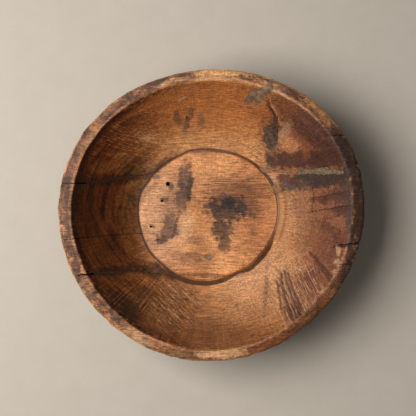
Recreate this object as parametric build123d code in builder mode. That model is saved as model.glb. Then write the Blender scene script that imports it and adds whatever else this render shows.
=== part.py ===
"""A round dough bowl carved from one block of hardwood, with its old repairs as separate pieces.

Millimetres. The bowl stands on its foot at z = 0 with +Z up, the grain runs along X, and the
origin is at the middle of the bowl's length and width.
"""
from build123d import *
import os
from math import cos, pi, radians, sin

# The block, as it is carved
RIM_LENGTH = 461.0  # over the rim, on its long axis
RIM_WIDTH = 438.0  # over the rim, on its short axis
HEIGHT = 130.0  # foot to the inner edge of the rim, its highest line
RIM_THICKNESS_ENDS = 20.0  # rim where the end grain shows
RIM_THICKNESS_SIDES = 16.5  # rim where the side grain shows
RIM_DROP = 4.0  # fall of the rim's top from its inner edge to its outer edge
RIM_ROUNDING = 2.5  # worn outer edge of the rim
FOOT_LENGTH = 236.0
FOOT_WIDTH = 226.0
FLOOR_THICKNESS = 20.0  # wood left under the groove
OUTLINE_TURN = radians(11)  # long axis of the hand-hewn outline, from the grain
SWELL = 2.6  # three slow swells of the outline
SWELL_ANGLE = radians(31.5)  # where the first swell of the outline stands
BELLY_CURVE = 1.9  # how the outside rises: 1 is a cone, 2 a parabola
WALL_CURVE = 1.8  # how the inside rises, in the same way

# The raised disc in the middle of the floor, and the groove round it
DISC_LENGTH = 216.0
DISC_WIDTH = 206.0
DISC_RISE = 5.0  # top of the disc above the bottom of the groove
DISC_BEVEL = 3.5  # slope of the disc's edge, seen from above
DISC_SHIFT_X = -4.5  # the disc was cut a little off the middle
DISC_SHIFT_Y = -2.5
DISC_SWELL = 3.0
DISC_SWELL_ANGLE = radians(20)
GROOVE_WIDTH = 1.5  # flat bottom of the groove

# Fits of what is let into the wood
GAP = 0.15  # clearance round every let-in piece
SINK = 0.3  # how far its face lies under the wood around it

# Checks, the cracks that drying opened from the end grain
CHECK_DEPTH = 5.0  # in the wall
CHECK_RIM_DEPTH = 34.0  # at the rim, more than its thickness: there a check goes right through
DEPTH_TAPER = 4  # how fast a check deepens towards the rim

# Each check, as places (inwards from the end of the rim, across, width)
CHECK_UPPER_LEFT = [(-5, 47, 2.0), (27, 48, 2.5), (53, 52, 5.5), (86, 58, 5.0), (128, 65, 1.0)]
CHECK_MIDDLE_LEFT = [(-5, -37, 1.8), (58, -32, 1.8), (112, -29, 1.3), (145, -30, 0.6)]
CHECK_LOWER_LEFT = [(-5, -93, 4.0), (36, -89, 4.0), (55, -88, 7.0), (105, -88, 5.0), (150, -93, 1.5)]
CHECK_UPPER_RIGHT = [(18, 120, 2.2), (47, 118, 2.0), (62, 121, 0.6)]
CHECK_MIDDLE_RIGHT = [(-5, -41, 2.0), (26, -42, 2.0), (45, -49, 0.6)]
CHECK_LOWER_RIGHT = [(2, -73, 2.4), (36, -73, 1.5), (43, -73, 0.5)]

# Where the stopping in two of the checks starts and ends, inwards from the end of the rim
UPPER_STOPPING_START = 40.0
UPPER_STOPPING_END = 112.0
LOWER_STOPPING_START = 52.0
LOWER_STOPPING_END = 130.0

# The split at the upper right: a plug in the rim, then putty, a sliver of wood and putty in the groove
SPLIT_Y = 65.0  # where the split crosses the rim
SPLIT_CLIMB = 6.5  # how far it climbs from the rim to the groove
SPLIT_WIDTH = 8.0
SPLIT_DEPTH = 8.0
RIM_PLUG_LENGTH = 32.0  # inwards from the end of the rim
RIM_PLUG_WIDTH = 12.0
RIM_PLUG_DEPTH = 12.0
SLIVER_LENGTH = 40.0
SLIVER_TIP_WIDTH = 3.0
GROOVE_PUTTY_LENGTH = 21.0
GROOVE_PUTTY_ANGLE = radians(43)  # where the split meets the groove

# Putty in the rim at the upper right, as places (along the rim, inwards from its inner edge)
RIM_PATCH_ANGLE = radians(67.5)
RIM_PATCH_DEPTH = 6.0
RIM_PATCH_RIM_DEPTH = 12.0
RIM_PATCH = [
    (-19, 26), (-17, 10), (-6, 2), (1, -1), (3, -12), (10, -12),
    (13.5, -4), (8.5, 8), (5.5, 17), (1, 21), (-6.5, 19),
]

# Pitch in a knot hollow of the wall, as places (along the rim, inwards from its inner edge)
PITCH_ANGLE = radians(51.5)
PITCH_DEPTH = 4.0
PITCH = [(-20, 54), (-12, 41), (-15, 33), (-15, 26), (13, 57), (10, 71), (2, 72), (-13, 59)]

# Putty in the groove under the split, as places (across the groove, along it)
GROOVE_PATCH_ANGLE = radians(21.3)
GROOVE_PATCH = [(-6, -5), (-5, 6), (9, 9), (14, 2), (6, -7)]
GROOVE_PATCH_DEPTH = 3.0  # under the bottom of the groove
GROOVE_PATCH_RISE = 4.0  # over it

# Putty plug in the disc, from the middle of the disc
FLOOR_PLUG_X = 0.5
FLOOR_PLUG_Y = -64.5
FLOOR_PLUG_LENGTH = 14.0
FLOOR_PLUG_WIDTH = 10.5
FLOOR_PLUG_DEPTH = 7.0

# Old beetle holes, as places (x, y, radius) from the middle of the disc
BEETLE_HOLE_DEPTH = 9.0
BEETLE_HOLES = [(-64.5, 52, 3.4), (-74, 25, 2.2), (-91.5, -16, 1.8), (-81, -37, 1.6)]

OUTLINE_POINTS = 12
SLICE_SHARES = (0.0, 0.2, 0.45, 0.7, 0.88, 1.0)
OVERSHOOT = 8.0  # how far a cutting shape runs past the wood
LEVEL_TOLERANCE = 0.1  # how near to a level an edge counts as lying on it
DISC_TOP = FLOOR_THICKNESS + DISC_RISE


def between(start, end, share):
    """The value at a share of the way from start to end."""
    return start + (end - start) * share


def radius_at(angle, length, width, swell, swell_angle):
    """How far a hand-hewn outline lies from its middle: an oval, a little turned, with three swells."""
    radius = (length + width) / 4 + (length - width) / 4 * cos(2 * (angle - OUTLINE_TURN))
    return radius + swell * cos(3 * (angle - swell_angle))


def oval_point(angle, length, width, swell, swell_angle, shift_x=0.0, shift_y=0.0):
    """The point of a hand-hewn outline at an angle, with the outline in the middle of its box."""
    right, top, left, bottom = (
        radius_at(quarter * pi / 2, length, width, swell, swell_angle) for quarter in range(4)
    )
    radius = radius_at(angle, length, width, swell, swell_angle)
    x = radius * cos(angle) + (left - right) / 2
    y = radius * sin(angle) + (bottom - top) / 2
    return (x + shift_x, y + shift_y)


def oval(*sizes):
    """The points of a hand-hewn outline, from the sizes that oval_point takes."""
    return [oval_point(2 * pi * step / OUTLINE_POINTS, *sizes) for step in range(OUTLINE_POINTS)]


def slice_at(level, points):
    """A flat face at a level, inside a smooth closed outline."""
    with BuildSketch(Plane.XY.offset(level)) as face:
        with BuildLine():
            Spline(*points, periodic=True)
        make_face()
    return face.sketch


def outside_slice(share):
    """The outside of the block at a share of the way from its foot to its rim."""
    length = between(FOOT_LENGTH, RIM_LENGTH, share)
    width = between(FOOT_WIDTH, RIM_WIDTH, share)
    return slice_at((HEIGHT - RIM_DROP) * share**BELLY_CURVE, oval(length, width, SWELL, SWELL_ANGLE))


def disc_sizes(margin):
    """The sizes of the disc's outline, a margin wider on every side."""
    length = DISC_LENGTH + 2 * margin
    width = DISC_WIDTH + 2 * margin
    return (length, width, DISC_SWELL, DISC_SWELL_ANGLE, DISC_SHIFT_X, DISC_SHIFT_Y)


def hollow(depth=0.0, rim_depth=None):
    """The room inside the bowl, with its surface moved into the wood by depth, or by more at the rim."""
    rim_depth = depth if rim_depth is None else rim_depth
    inner_depth = HEIGHT - FLOOR_THICKNESS
    foot_margin = DISC_BEVEL + GROOVE_WIDTH
    slices = []
    for share in (*SLICE_SHARES, 1.0 + OVERSHOOT / inner_depth):
        moved = between(depth, rim_depth, min(share, 1.0) ** DEPTH_TAPER)
        outline = oval(
            between(DISC_LENGTH + 2 * foot_margin, rim_inner_sizes[0], share) + 2 * moved,
            between(DISC_WIDTH + 2 * foot_margin, rim_inner_sizes[1], share) + 2 * moved,
            between(DISC_SWELL, SWELL, share),
            between(DISC_SWELL_ANGLE, SWELL_ANGLE, share),
            DISC_SHIFT_X * (1 - share),
            DISC_SHIFT_Y * (1 - share),
        )
        slices.append(slice_at(FLOOR_THICKNESS + inner_depth * share**WALL_CURVE - depth, outline))
    with BuildPart() as room:
        loft(slices)
    return room.part


def prism(outline, bottom, top, margin=0.0):
    """A straight-sided solid over an outline, a margin smaller on every side."""
    with BuildPart() as solid:
        with BuildSketch(Plane.XY.offset(bottom)):
            with BuildLine():
                Polyline(*outline, close=True)
            make_face()
            if margin:
                offset(amount=-margin, kind=Kind.INTERSECTION, mode=Mode.REPLACE)
        extrude(amount=top - bottom)
    return solid.part


def on_rim(angle, places):
    """Places (along the rim, inwards from its inner edge) as points seen from above."""
    edge_x, edge_y = oval_point(angle, *rim_inner_sizes)
    points = []
    for along, inwards in places:
        x = edge_x - inwards * cos(angle) + along * sin(angle)
        y = edge_y - inwards * sin(angle) - along * cos(angle)
        points.append((x, y))
    return points


def on_groove(angle, places):
    """Places (across the groove, along it) as points seen from above."""
    edge_x, edge_y = oval_point(angle, *disc_sizes(DISC_BEVEL))
    points = []
    for across, along in places:
        x = edge_x + across * cos(angle) - along * sin(angle)
        y = edge_y + across * sin(angle) + along * cos(angle)
        points.append((x, y))
    return points


def check_outline(side, places):
    """The outline of a check seen from above; side is -1 at the left end and 1 at the right end."""
    one_edge = []
    other_edge = []
    for inwards, across, width in places:
        x = side * (RIM_LENGTH / 2 - inwards)
        one_edge.append((x, across + width / 2))
        other_edge.append((x, across - width / 2))
    return one_edge + other_edge[::-1]


def stretch_of(places, start, end):
    """The places of a check between two distances from the end of the rim."""
    kept = []
    for first, second in zip(places, places[1:]):
        for inwards in (max(start, first[0]), min(end, second[0])):
            if start <= inwards <= end and first[0] <= inwards <= second[0]:
                share = (inwards - first[0]) / (second[0] - first[0])
                across = between(first[1], second[1], share)
                width = between(first[2], second[2], share)
                if (inwards, across, width) not in kept:
                    kept.append((inwards, across, width))
    return kept


def split_outline(start_x, end_x, start_width, end_width):
    """A stretch of the split seen from above, between two places along X."""
    one_edge = []
    other_edge = []
    for x, width in ((start_x, start_width), (end_x, end_width)):
        middle = SPLIT_Y + SPLIT_CLIMB * (RIM_PLUG_X - x) / (RIM_PLUG_X - GROOVE_PUTTY_X)
        one_edge.append((x, middle + width / 2))
        other_edge.append((x, middle - width / 2))
    return one_edge + other_edge[::-1]


# The inner edge of the rim, as the sizes of its outline
rim_inner_sizes = (
    RIM_LENGTH - 2 * RIM_THICKNESS_ENDS,
    RIM_WIDTH - 2 * RIM_THICKNESS_SIDES,
    SWELL,
    SWELL_ANGLE,
)

# Where the pieces of the split lie along X, from the groove out to the rim
GROOVE_PUTTY_X = oval_point(GROOVE_PUTTY_ANGLE, *disc_sizes(DISC_BEVEL))[0]
SLIVER_X = GROOVE_PUTTY_X + GROOVE_PUTTY_LENGTH
PUTTY_X = SLIVER_X + SLIVER_LENGTH
RIM_PLUG_X = RIM_LENGTH / 2 - RIM_PLUG_LENGTH

# Levels and places that several cuts share
TOP = HEIGHT + OVERSHOOT
RIM_END_X = RIM_LENGTH / 2 + OVERSHOOT
RIM_PLUG_BOTTOM = HEIGHT - RIM_PLUG_DEPTH
GROOVE_PATCH_BOTTOM = FLOOR_THICKNESS - GROOVE_PATCH_DEPTH
GROOVE_PATCH_TOP = FLOOR_THICKNESS + GROOVE_PATCH_RISE
floor_plug_place = (DISC_SHIFT_X + FLOOR_PLUG_X, DISC_SHIFT_Y + FLOOR_PLUG_Y)
rim_plug_outline = [
    (RIM_PLUG_X, SPLIT_Y - RIM_PLUG_WIDTH / 2),
    (RIM_END_X, SPLIT_Y - RIM_PLUG_WIDTH / 2),
    (RIM_END_X, SPLIT_Y + RIM_PLUG_WIDTH / 2),
    (RIM_PLUG_X, SPLIT_Y + RIM_PLUG_WIDTH / 2),
]
split_putty_outline = split_outline(RIM_PLUG_X, PUTTY_X, SPLIT_WIDTH, SPLIT_WIDTH)
sliver_outline = split_outline(PUTTY_X, SLIVER_X, SPLIT_WIDTH, SLIVER_TIP_WIDTH)
groove_putty_outline = split_outline(SLIVER_X, GROOVE_PUTTY_X, SPLIT_WIDTH, SPLIT_WIDTH)
groove_patch_outline = on_groove(GROOVE_PATCH_ANGLE, GROOVE_PATCH)
rim_patch_outline = on_rim(RIM_PATCH_ANGLE, RIM_PATCH)
pitch_outline = on_rim(PITCH_ANGLE, PITCH)

# The solid block with its outside carved, and a rim that slopes up to its inner edge
with BuildPart() as block:
    loft([outside_slice(share) for share in SLICE_SHARES])
    loft([outside_slice(1.0), slice_at(HEIGHT, oval(*rim_inner_sizes))], ruled=True)
    outer_level = HEIGHT - RIM_DROP
    levels = (outer_level - LEVEL_TOLERANCE, outer_level + LEVEL_TOLERANCE)
    fillet(block.edges().filter_by_position(Axis.Z, *levels), RIM_ROUNDING)

# The room inside, and the same room a little deeper, which bounds what is let into the wood
room = hollow()
sunk_room = hollow(SINK)

# The checks, as the gaps that they leave in the wood
with BuildPart() as open_checks:
    for side, places in (
        (-1, CHECK_UPPER_LEFT),
        (-1, CHECK_MIDDLE_LEFT),
        (-1, CHECK_LOWER_LEFT),
        (1, CHECK_UPPER_RIGHT),
        (1, CHECK_MIDDLE_RIGHT),
        (1, CHECK_LOWER_RIGHT),
    ):
        add(prism(check_outline(side, places), 0, TOP))
    add(hollow(CHECK_DEPTH, CHECK_RIM_DEPTH), mode=Mode.INTERSECT)

# The wood taken out of the wall for its repairs
with BuildPart() as split_pocket:
    add(prism(split_putty_outline, 0, TOP))
    add(prism(sliver_outline, 0, TOP))
    add(hollow(SPLIT_DEPTH), mode=Mode.INTERSECT)

with BuildPart() as rim_patch_pocket:
    add(prism(rim_patch_outline, 0, TOP))
    add(hollow(RIM_PATCH_DEPTH, RIM_PATCH_RIM_DEPTH), mode=Mode.INTERSECT)

with BuildPart() as pitch_pocket:
    add(prism(pitch_outline, 0, TOP))
    add(hollow(PITCH_DEPTH), mode=Mode.INTERSECT)

with BuildPart() as groove_pockets:
    add(prism(groove_putty_outline, GROOVE_PATCH_BOTTOM, TOP))
    add(prism(groove_patch_outline, GROOVE_PATCH_BOTTOM, TOP))

# The holes in the disc: the one for its putty plug, and those that beetles left
with BuildPart() as disc_holes:
    with BuildSketch(Plane.XY.offset(DISC_TOP)):
        with Locations(floor_plug_place):
            Ellipse(FLOOR_PLUG_LENGTH / 2, FLOOR_PLUG_WIDTH / 2)
    extrude(amount=-FLOOR_PLUG_DEPTH)
    with BuildSketch(Plane.XY.offset(DISC_TOP)):
        for x, y, radius in BEETLE_HOLES:
            with Locations((DISC_SHIFT_X + x, DISC_SHIFT_Y + y)):
                Circle(radius)
    extrude(amount=-BEETLE_HOLE_DEPTH)

# The carved bowl with its open checks and the pockets of its repairs. The sloping edge of the disc
# runs on down into the floor, as deep again as the disc is high, so that it stands on the wood all round.
cuts = [open_checks, split_pocket, rim_patch_pocket, pitch_pocket, groove_pockets, disc_holes]
with BuildPart() as bowl_body:
    add(block.part)
    add(room, mode=Mode.SUBTRACT)
    disc_foot = slice_at(FLOOR_THICKNESS - DISC_RISE, oval(*disc_sizes(2 * DISC_BEVEL)))
    disc_face = slice_at(DISC_TOP, oval(*disc_sizes(0.0)))
    loft([disc_foot, disc_face], ruled=True)
    add(prism(rim_plug_outline, RIM_PLUG_BOTTOM, TOP), mode=Mode.SUBTRACT)
    add([cut.part for cut in cuts], mode=Mode.SUBTRACT)

# Stopping in the upper check of the left wall
with BuildPart() as crack_stopping_upper:
    places = stretch_of(CHECK_UPPER_LEFT, UPPER_STOPPING_START, UPPER_STOPPING_END)
    add(prism(check_outline(-1, places), 0, TOP, GAP))
    add(hollow(CHECK_DEPTH - GAP, CHECK_RIM_DEPTH - GAP), mode=Mode.INTERSECT)
    add(sunk_room, mode=Mode.SUBTRACT)

# Stopping in the lower check of the left wall
with BuildPart() as crack_stopping_lower:
    places = stretch_of(CHECK_LOWER_LEFT, LOWER_STOPPING_START, LOWER_STOPPING_END)
    add(prism(check_outline(-1, places), 0, TOP, GAP))
    add(hollow(CHECK_DEPTH - GAP, CHECK_RIM_DEPTH - GAP), mode=Mode.INTERSECT)
    add(sunk_room, mode=Mode.SUBTRACT)

# Wooden plug in the rim, over the end of the split
with BuildPart() as split_rim_plug:
    add(prism(rim_plug_outline, RIM_PLUG_BOTTOM + GAP, TOP, GAP))
    add(sunk_room, mode=Mode.SUBTRACT)
    add(block.part, mode=Mode.INTERSECT)

# Putty in the outer half of the split
with BuildPart() as split_stopping:
    add(prism(split_putty_outline, 0, TOP, GAP))
    add(hollow(SPLIT_DEPTH - GAP), mode=Mode.INTERSECT)
    add(sunk_room, mode=Mode.SUBTRACT)

# Sliver of pale wood in the inner half of the split
with BuildPart() as split_sliver:
    add(prism(sliver_outline, 0, TOP, GAP))
    add(hollow(SPLIT_DEPTH - GAP), mode=Mode.INTERSECT)
    add(sunk_room, mode=Mode.SUBTRACT)

# Putty where the split runs into the groove
with BuildPart() as groove_stopping_upper:
    add(prism(groove_putty_outline, GROOVE_PATCH_BOTTOM + GAP, GROOVE_PATCH_TOP, GAP))

# Putty lower down in the groove
with BuildPart() as groove_stopping_lower:
    add(prism(groove_patch_outline, GROOVE_PATCH_BOTTOM + GAP, GROOVE_PATCH_TOP, GAP))

# Putty over a chip in the rim
with BuildPart() as rim_stopping:
    add(prism(rim_patch_outline, 0, TOP, GAP))
    add(hollow(RIM_PATCH_DEPTH - GAP, RIM_PATCH_RIM_DEPTH - GAP), mode=Mode.INTERSECT)
    add(sunk_room, mode=Mode.SUBTRACT)
    add(block.part, mode=Mode.INTERSECT)

# Pitch in the knot hollow
with BuildPart() as knot_pitch:
    add(prism(pitch_outline, 0, TOP, GAP))
    add(hollow(PITCH_DEPTH - GAP), mode=Mode.INTERSECT)
    add(sunk_room, mode=Mode.SUBTRACT)

# Putty plug in the disc
with BuildPart() as floor_plug:
    with BuildSketch(Plane.XY.offset(DISC_TOP - SINK)):
        with Locations(floor_plug_place):
            Ellipse(FLOOR_PLUG_LENGTH / 2 - GAP, FLOOR_PLUG_WIDTH / 2 - GAP)
    extrude(amount=-(FLOOR_PLUG_DEPTH - SINK - GAP))

pieces = {
    "bowl_body": bowl_body,
    "crack_stopping_upper": crack_stopping_upper,
    "crack_stopping_lower": crack_stopping_lower,
    "split_rim_plug": split_rim_plug,
    "split_stopping": split_stopping,
    "split_sliver": split_sliver,
    "groove_stopping_upper": groove_stopping_upper,
    "groove_stopping_lower": groove_stopping_lower,
    "rim_stopping": rim_stopping,
    "knot_pitch": knot_pitch,
    "floor_plug": floor_plug,
}
os.makedirs("parts", exist_ok=True)
for name, piece in pieces.items():
    piece.part.label = name
    export_step(piece.part, f"parts/{name}.step")
    print(f"{name}: {len(piece.part.solids())} solid, {piece.part.volume / 1000:.2f} cm3")
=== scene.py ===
# %% [markdown]
# # A mended dough bowl
# The bowl is one block of hardwood, hewn round outside and hollowed inside, with a flat disc left standing in
# its floor. Drying opened cracks in its end grain, and its owners stopped them with putty, pitch and bits of
# wood. This lesson dresses the measured model: it carves the bowl with Geometry Nodes, opens its cracks with
# booleans, fills them with lumps of putty, and paints the wood with procedural nodes only.

# %% Load the measured model
from math import ceil, cos, hypot, pi, radians, sin

import bmesh
import bpy
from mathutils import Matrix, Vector, noise
from mathutils.bvhtree import BVHTree
from mathutils.geometry import delaunay_2d_cdt
from mathutils.kdtree import KDTree


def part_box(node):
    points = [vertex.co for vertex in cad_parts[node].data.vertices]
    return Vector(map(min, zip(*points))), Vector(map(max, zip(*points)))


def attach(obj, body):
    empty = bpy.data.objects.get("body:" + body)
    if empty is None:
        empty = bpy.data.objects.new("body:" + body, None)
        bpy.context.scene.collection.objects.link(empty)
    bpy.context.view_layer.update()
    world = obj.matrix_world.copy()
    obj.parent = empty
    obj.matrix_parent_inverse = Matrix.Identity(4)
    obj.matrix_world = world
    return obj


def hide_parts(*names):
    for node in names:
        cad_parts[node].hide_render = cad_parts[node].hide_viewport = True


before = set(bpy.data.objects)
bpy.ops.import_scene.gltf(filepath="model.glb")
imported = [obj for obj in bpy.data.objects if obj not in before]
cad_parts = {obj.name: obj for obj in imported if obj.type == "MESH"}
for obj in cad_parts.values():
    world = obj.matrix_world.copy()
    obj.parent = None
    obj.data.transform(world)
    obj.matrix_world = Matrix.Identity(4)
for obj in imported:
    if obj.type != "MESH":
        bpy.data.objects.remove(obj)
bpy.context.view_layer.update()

MM = 0.001
print("nodes:", ", ".join(sorted(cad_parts)))

# %% [markdown]
# ## Two helpers
# A node tree takes many nodes, so one small function adds a node, sets it up and links it. It serves the
# geometry trees and the materials alike. Colours are written as the hex values that a colour picker shows,
# and Blender wants them linear, so a second function converts them.

# %% Helpers for nodes and colours
def add_node(tree, kind, inputs=None, **settings):
    """Adds a node. An input takes a value, a socket, or a node whose first output is meant."""
    node = tree.nodes.new(kind)
    for name, value in settings.items():
        setattr(node, name, value)
    for key, value in (inputs or {}).items():
        named = [socket for socket in node.inputs if socket.enabled and socket.name == key]
        socket = named[0] if named else node.inputs[key]
        if isinstance(value, bpy.types.Node):
            value = [output for output in value.outputs if output.enabled][0]
        if isinstance(value, bpy.types.NodeSocket):
            tree.links.new(value, socket)
        else:
            socket.default_value = value
    return node


def linear(hex_colour):
    """A linear colour from an sRGB hex value such as "a86f41"."""
    channels = [int(hex_colour[start:start + 2], 16) / 255 for start in (0, 2, 4)]
    return [c / 12.92 if c <= 0.04045 else ((c + 0.055) / 1.055) ** 2.4 for c in channels] + [1.0]


# %% [markdown]
# ## The rule of the bowl's shape
# A hewn bowl is close to a rule: every level of it is an oval, a little turned from the grain, with three
# slow swells left by the adze. Inside and outside rise as power curves. So the whole surface is one list of
# rings, from the middle of the disc over the groove, the wall and the rim, and down the outside to the foot.

# %% Sizes of the bowl, in millimetres
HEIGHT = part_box("bowl_body")[1].z / MM
RIM_LENGTH, RIM_WIDTH = 461.0, 438.0
RIM_THICKNESS_ENDS, RIM_THICKNESS_SIDES = 20.0, 16.5
RIM_DROP = 4.0
FOOT_LENGTH, FOOT_WIDTH = 236.0, 226.0
FLOOR_THICKNESS = 20.0
DISC_LENGTH, DISC_WIDTH = 216.0, 206.0
DISC_RISE = 5.0
DISC_BEVEL = 3.5
DISC_SHIFT = (-4.5, -2.5)
GROOVE_WIDTH = 1.5
BELLY_CURVE, WALL_CURVE = 1.9, 1.8
OUTLINE_TURN = radians(11)
RIM_SWELL = (2.6, radians(31.5))
DISC_SWELL = (3.0, radians(20))
INNER_LENGTH = RIM_LENGTH - 2 * RIM_THICKNESS_ENDS
INNER_WIDTH = RIM_WIDTH - 2 * RIM_THICKNESS_SIDES
WALL_FOOT_LENGTH = DISC_LENGTH + 2 * (DISC_BEVEL + GROOVE_WIDTH)
WALL_FOOT_WIDTH = DISC_WIDTH + 2 * (DISC_BEVEL + GROOVE_WIDTH)
print(f"bowl {RIM_LENGTH:.0f} by {RIM_WIDTH:.0f} by {HEIGHT:.0f} mm")


# %% Outlines of the bowl
def between(start, end, share):
    """The value at a share of the way from start to end."""
    return start + (end - start) * share


def radius_at(angle, length, width, swell, swell_angle):
    """How far a hewn outline lies from its middle."""
    radius = (length + width) / 4 + (length - width) / 4 * cos(2 * (angle - OUTLINE_TURN))
    return radius + swell * cos(3 * (angle - swell_angle))


def middle_shift(length, width, swell, swell_angle):
    """What brings a hewn outline to the middle of its box."""
    right, top, left, bottom = (
        radius_at(quarter * pi / 2, length, width, swell, swell_angle) for quarter in range(4)
    )
    return (left - right) / 2, (bottom - top) / 2


def ring(length, width, level, swell, shift, zone, scale=1.0, groove=0.0, trim=0.0, hewing=0.0, chips=0.0,
         inside=1.0):
    """One ring of the bowl's surface, as the values that the sweep reads, in metres."""
    centre = middle_shift(length, width, *swell)
    return {
        "place": [(length + width) / 4 * scale * MM, (length - width) / 4 * scale * MM, level * MM],
        "outline": [swell[0] * scale * MM, swell[1], groove],
        "shift": [(centre[0] + shift[0]) * MM, (centre[1] + shift[1]) * MM, 0.0],
        "wear": [hewing * MM, chips * MM, inside],
        "zone": zone,
        "trim": trim,
    }


# %% [markdown]
# ## The rings
# Each ring also carries what later steps need to know: its zone (0 disc, 1 groove, 2 wall, 3 to 3.5 across
# the rim, 4 outside), how rough it was hewn, and how much of the groove's widening and of the disc's trimmed
# edge it takes. In the photograph the groove is a thin line at the upper left and opens to a dark crescent at
# the lower right, and the disc is cut a little flat at the bottom and at the upper left.

# %% List the rings of the disc and the wall
DISC_RINGS, BEVEL_RINGS, WALL_RINGS = 30, 7, 62
DISC_ZONE, GROOVE_ZONE = 0.0, 1.0
GROOVE_RINGS = 2  # rings over which the groove's zone passes into the wall's
INNER_EDGE_WEAR = 1.6
BEVEL_GROOVE = 0.25  # share of the groove's widening that the foot of the bevel takes
GROOVE_REACH = 0.16  # share of the wall that gives way to the wide part of the groove
TRIM_REACH = 0.3  # share of the wall that follows the trimmed edge of the disc
TRIM_POWER = 6  # how fast the trimmed edge fades towards the middle of the disc
TOP_REACH, TOP_ZONE = 0.1, 0.4  # share of the wall that counts as its top, and what its zone gains there
DISC_HEWING, BEVEL_HEWING, WALL_HEWING = 0.5, 0.4, 1.3


def disc_rings():
    """The top of the disc, its rounded edge and the bottom of the groove."""
    rings = []
    for step in range(DISC_RINGS):
        share = step / DISC_RINGS
        rings.append(
            ring(DISC_LENGTH, DISC_WIDTH, FLOOR_THICKNESS + DISC_RISE, DISC_SWELL, DISC_SHIFT, DISC_ZONE,
                 scale=share, trim=share**TRIM_POWER, hewing=DISC_HEWING)
        )
    for step in range(BEVEL_RINGS + 1):
        share = step / BEVEL_RINGS
        margin = 2 * DISC_BEVEL * share
        level = FLOOR_THICKNESS + DISC_RISE * (1 + cos(pi * share)) / 2
        rings.append(
            ring(DISC_LENGTH + margin, DISC_WIDTH + margin, level, DISC_SWELL, DISC_SHIFT, share,
                 groove=BEVEL_GROOVE * share, trim=1.0, hewing=BEVEL_HEWING)
        )
    return rings


def wall_rings():
    """The hollow, from the groove up to the inner edge of the rim."""
    depth = HEIGHT - FLOOR_THICKNESS
    top_share = (1 - INNER_EDGE_WEAR / depth) ** (1 / WALL_CURVE)
    rings = []
    for step in range(WALL_RINGS + 1):
        share = step / WALL_RINGS * top_share
        swell = [between(low, high, share) for low, high in zip(DISC_SWELL, RIM_SWELL)]
        shift = [place * (1 - share) for place in DISC_SHIFT]
        near_top = max(0.0, 1 - (1 - step / WALL_RINGS) / TOP_REACH)
        zone = GROOVE_ZONE + min(1.0, step / GROOVE_RINGS) + TOP_ZONE * near_top
        rings.append(
            ring(between(WALL_FOOT_LENGTH, INNER_LENGTH, share), between(WALL_FOOT_WIDTH, INNER_WIDTH, share),
                 FLOOR_THICKNESS + depth * share**WALL_CURVE, swell, shift, zone,
                 groove=max(0.0, 1 - share / GROOVE_REACH) ** 2, trim=max(0.0, 1 - share / TRIM_REACH) ** 2,
                 hewing=WALL_HEWING)
        )
    return rings


rings = disc_rings() + wall_rings()
print(f"{len(rings)} rings inside")

# %% Add the rings of the rim and the outside
RIM_RINGS, OUTSIDE_RINGS, FOOT_RINGS = 14, 34, 8
OUTER_EDGE_WEAR = 2.6
INNER_EDGE_SHARE, OUTER_EDGE_SHARE = 0.14, 0.2
RIM_ZONE, RIM_SPAN, OUTSIDE_ZONE = 3.0, 0.5, 4.0
FOOT_REACH = 0.25  # share of the outside in which the hewing fades towards the foot
RIM_HEWING, RIM_CHIPS, OUTSIDE_HEWING = 0.9, 1.0, 1.6
NO_SHIFT = (0.0, 0.0)


def rim_rings():
    """The top of the rim, with its worn inner and outer edges."""
    rings = []
    for step in range(1, RIM_RINGS + 1):
        share = step / RIM_RINGS
        inner_wear = INNER_EDGE_WEAR * max(0.0, 1 - share / INNER_EDGE_SHARE) ** 2
        outer_wear = OUTER_EDGE_WEAR * max(0.0, 1 - (1 - share) / OUTER_EDGE_SHARE) ** 2
        level = HEIGHT - RIM_DROP * share - inner_wear - outer_wear
        rings.append(
            ring(between(INNER_LENGTH, RIM_LENGTH, share), between(INNER_WIDTH, RIM_WIDTH, share),
                 level, RIM_SWELL, NO_SHIFT, RIM_ZONE + RIM_SPAN * share,
                 hewing=RIM_HEWING, chips=RIM_CHIPS, inside=0.0)
        )
    return rings


def outside_rings():
    """The outside, from under the rim to the middle of the foot."""
    rise = HEIGHT - RIM_DROP
    top_share = (1 - OUTER_EDGE_WEAR / rise) ** (1 / BELLY_CURVE)
    rings = []
    for step in range(1, OUTSIDE_RINGS + 1):
        share = (1 - step / OUTSIDE_RINGS) * top_share
        rings.append(
            ring(between(FOOT_LENGTH, RIM_LENGTH, share), between(FOOT_WIDTH, RIM_WIDTH, share),
                 rise * share**BELLY_CURVE, RIM_SWELL, NO_SHIFT, OUTSIDE_ZONE,
                 hewing=OUTSIDE_HEWING * min(1.0, share / FOOT_REACH), inside=0.0)
        )
    for step in range(1, FOOT_RINGS + 1):
        share = 1 - step / FOOT_RINGS
        rings.append(
            ring(FOOT_LENGTH, FOOT_WIDTH, 0.0, RIM_SWELL, NO_SHIFT, OUTSIDE_ZONE, scale=share, inside=0.0)
        )
    return rings


rings += rim_rings() + outside_rings()
print(f"{len(rings)} rings in all")

# %% [markdown]
# ## Gouge marks
# The hollowing gouge left long marks in the lower right wall. Each is drawn here as a line seen from above.
# The sweep presses a soft groove into the wood along these lines and keeps the pressing as an attribute, so
# the material can darken exactly the same places.

# %% Draw the gouge marks, as places (x, y) in millimetres
GOUGES = [
    [(110, -92), (111, -110), (115, -131), (122, -151), (126, -162)],
    [(115, -87), (118, -105), (124, -126), (131, -144), (137, -155)],
    [(120, -90), (124, -108), (132, -128), (138, -146)],
    [(103, -104), (105, -122), (107, -144)],
    [(153, -57), (165, -77), (180, -100)],
    [(159, -63), (173, -81), (182, -96)],
]


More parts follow.
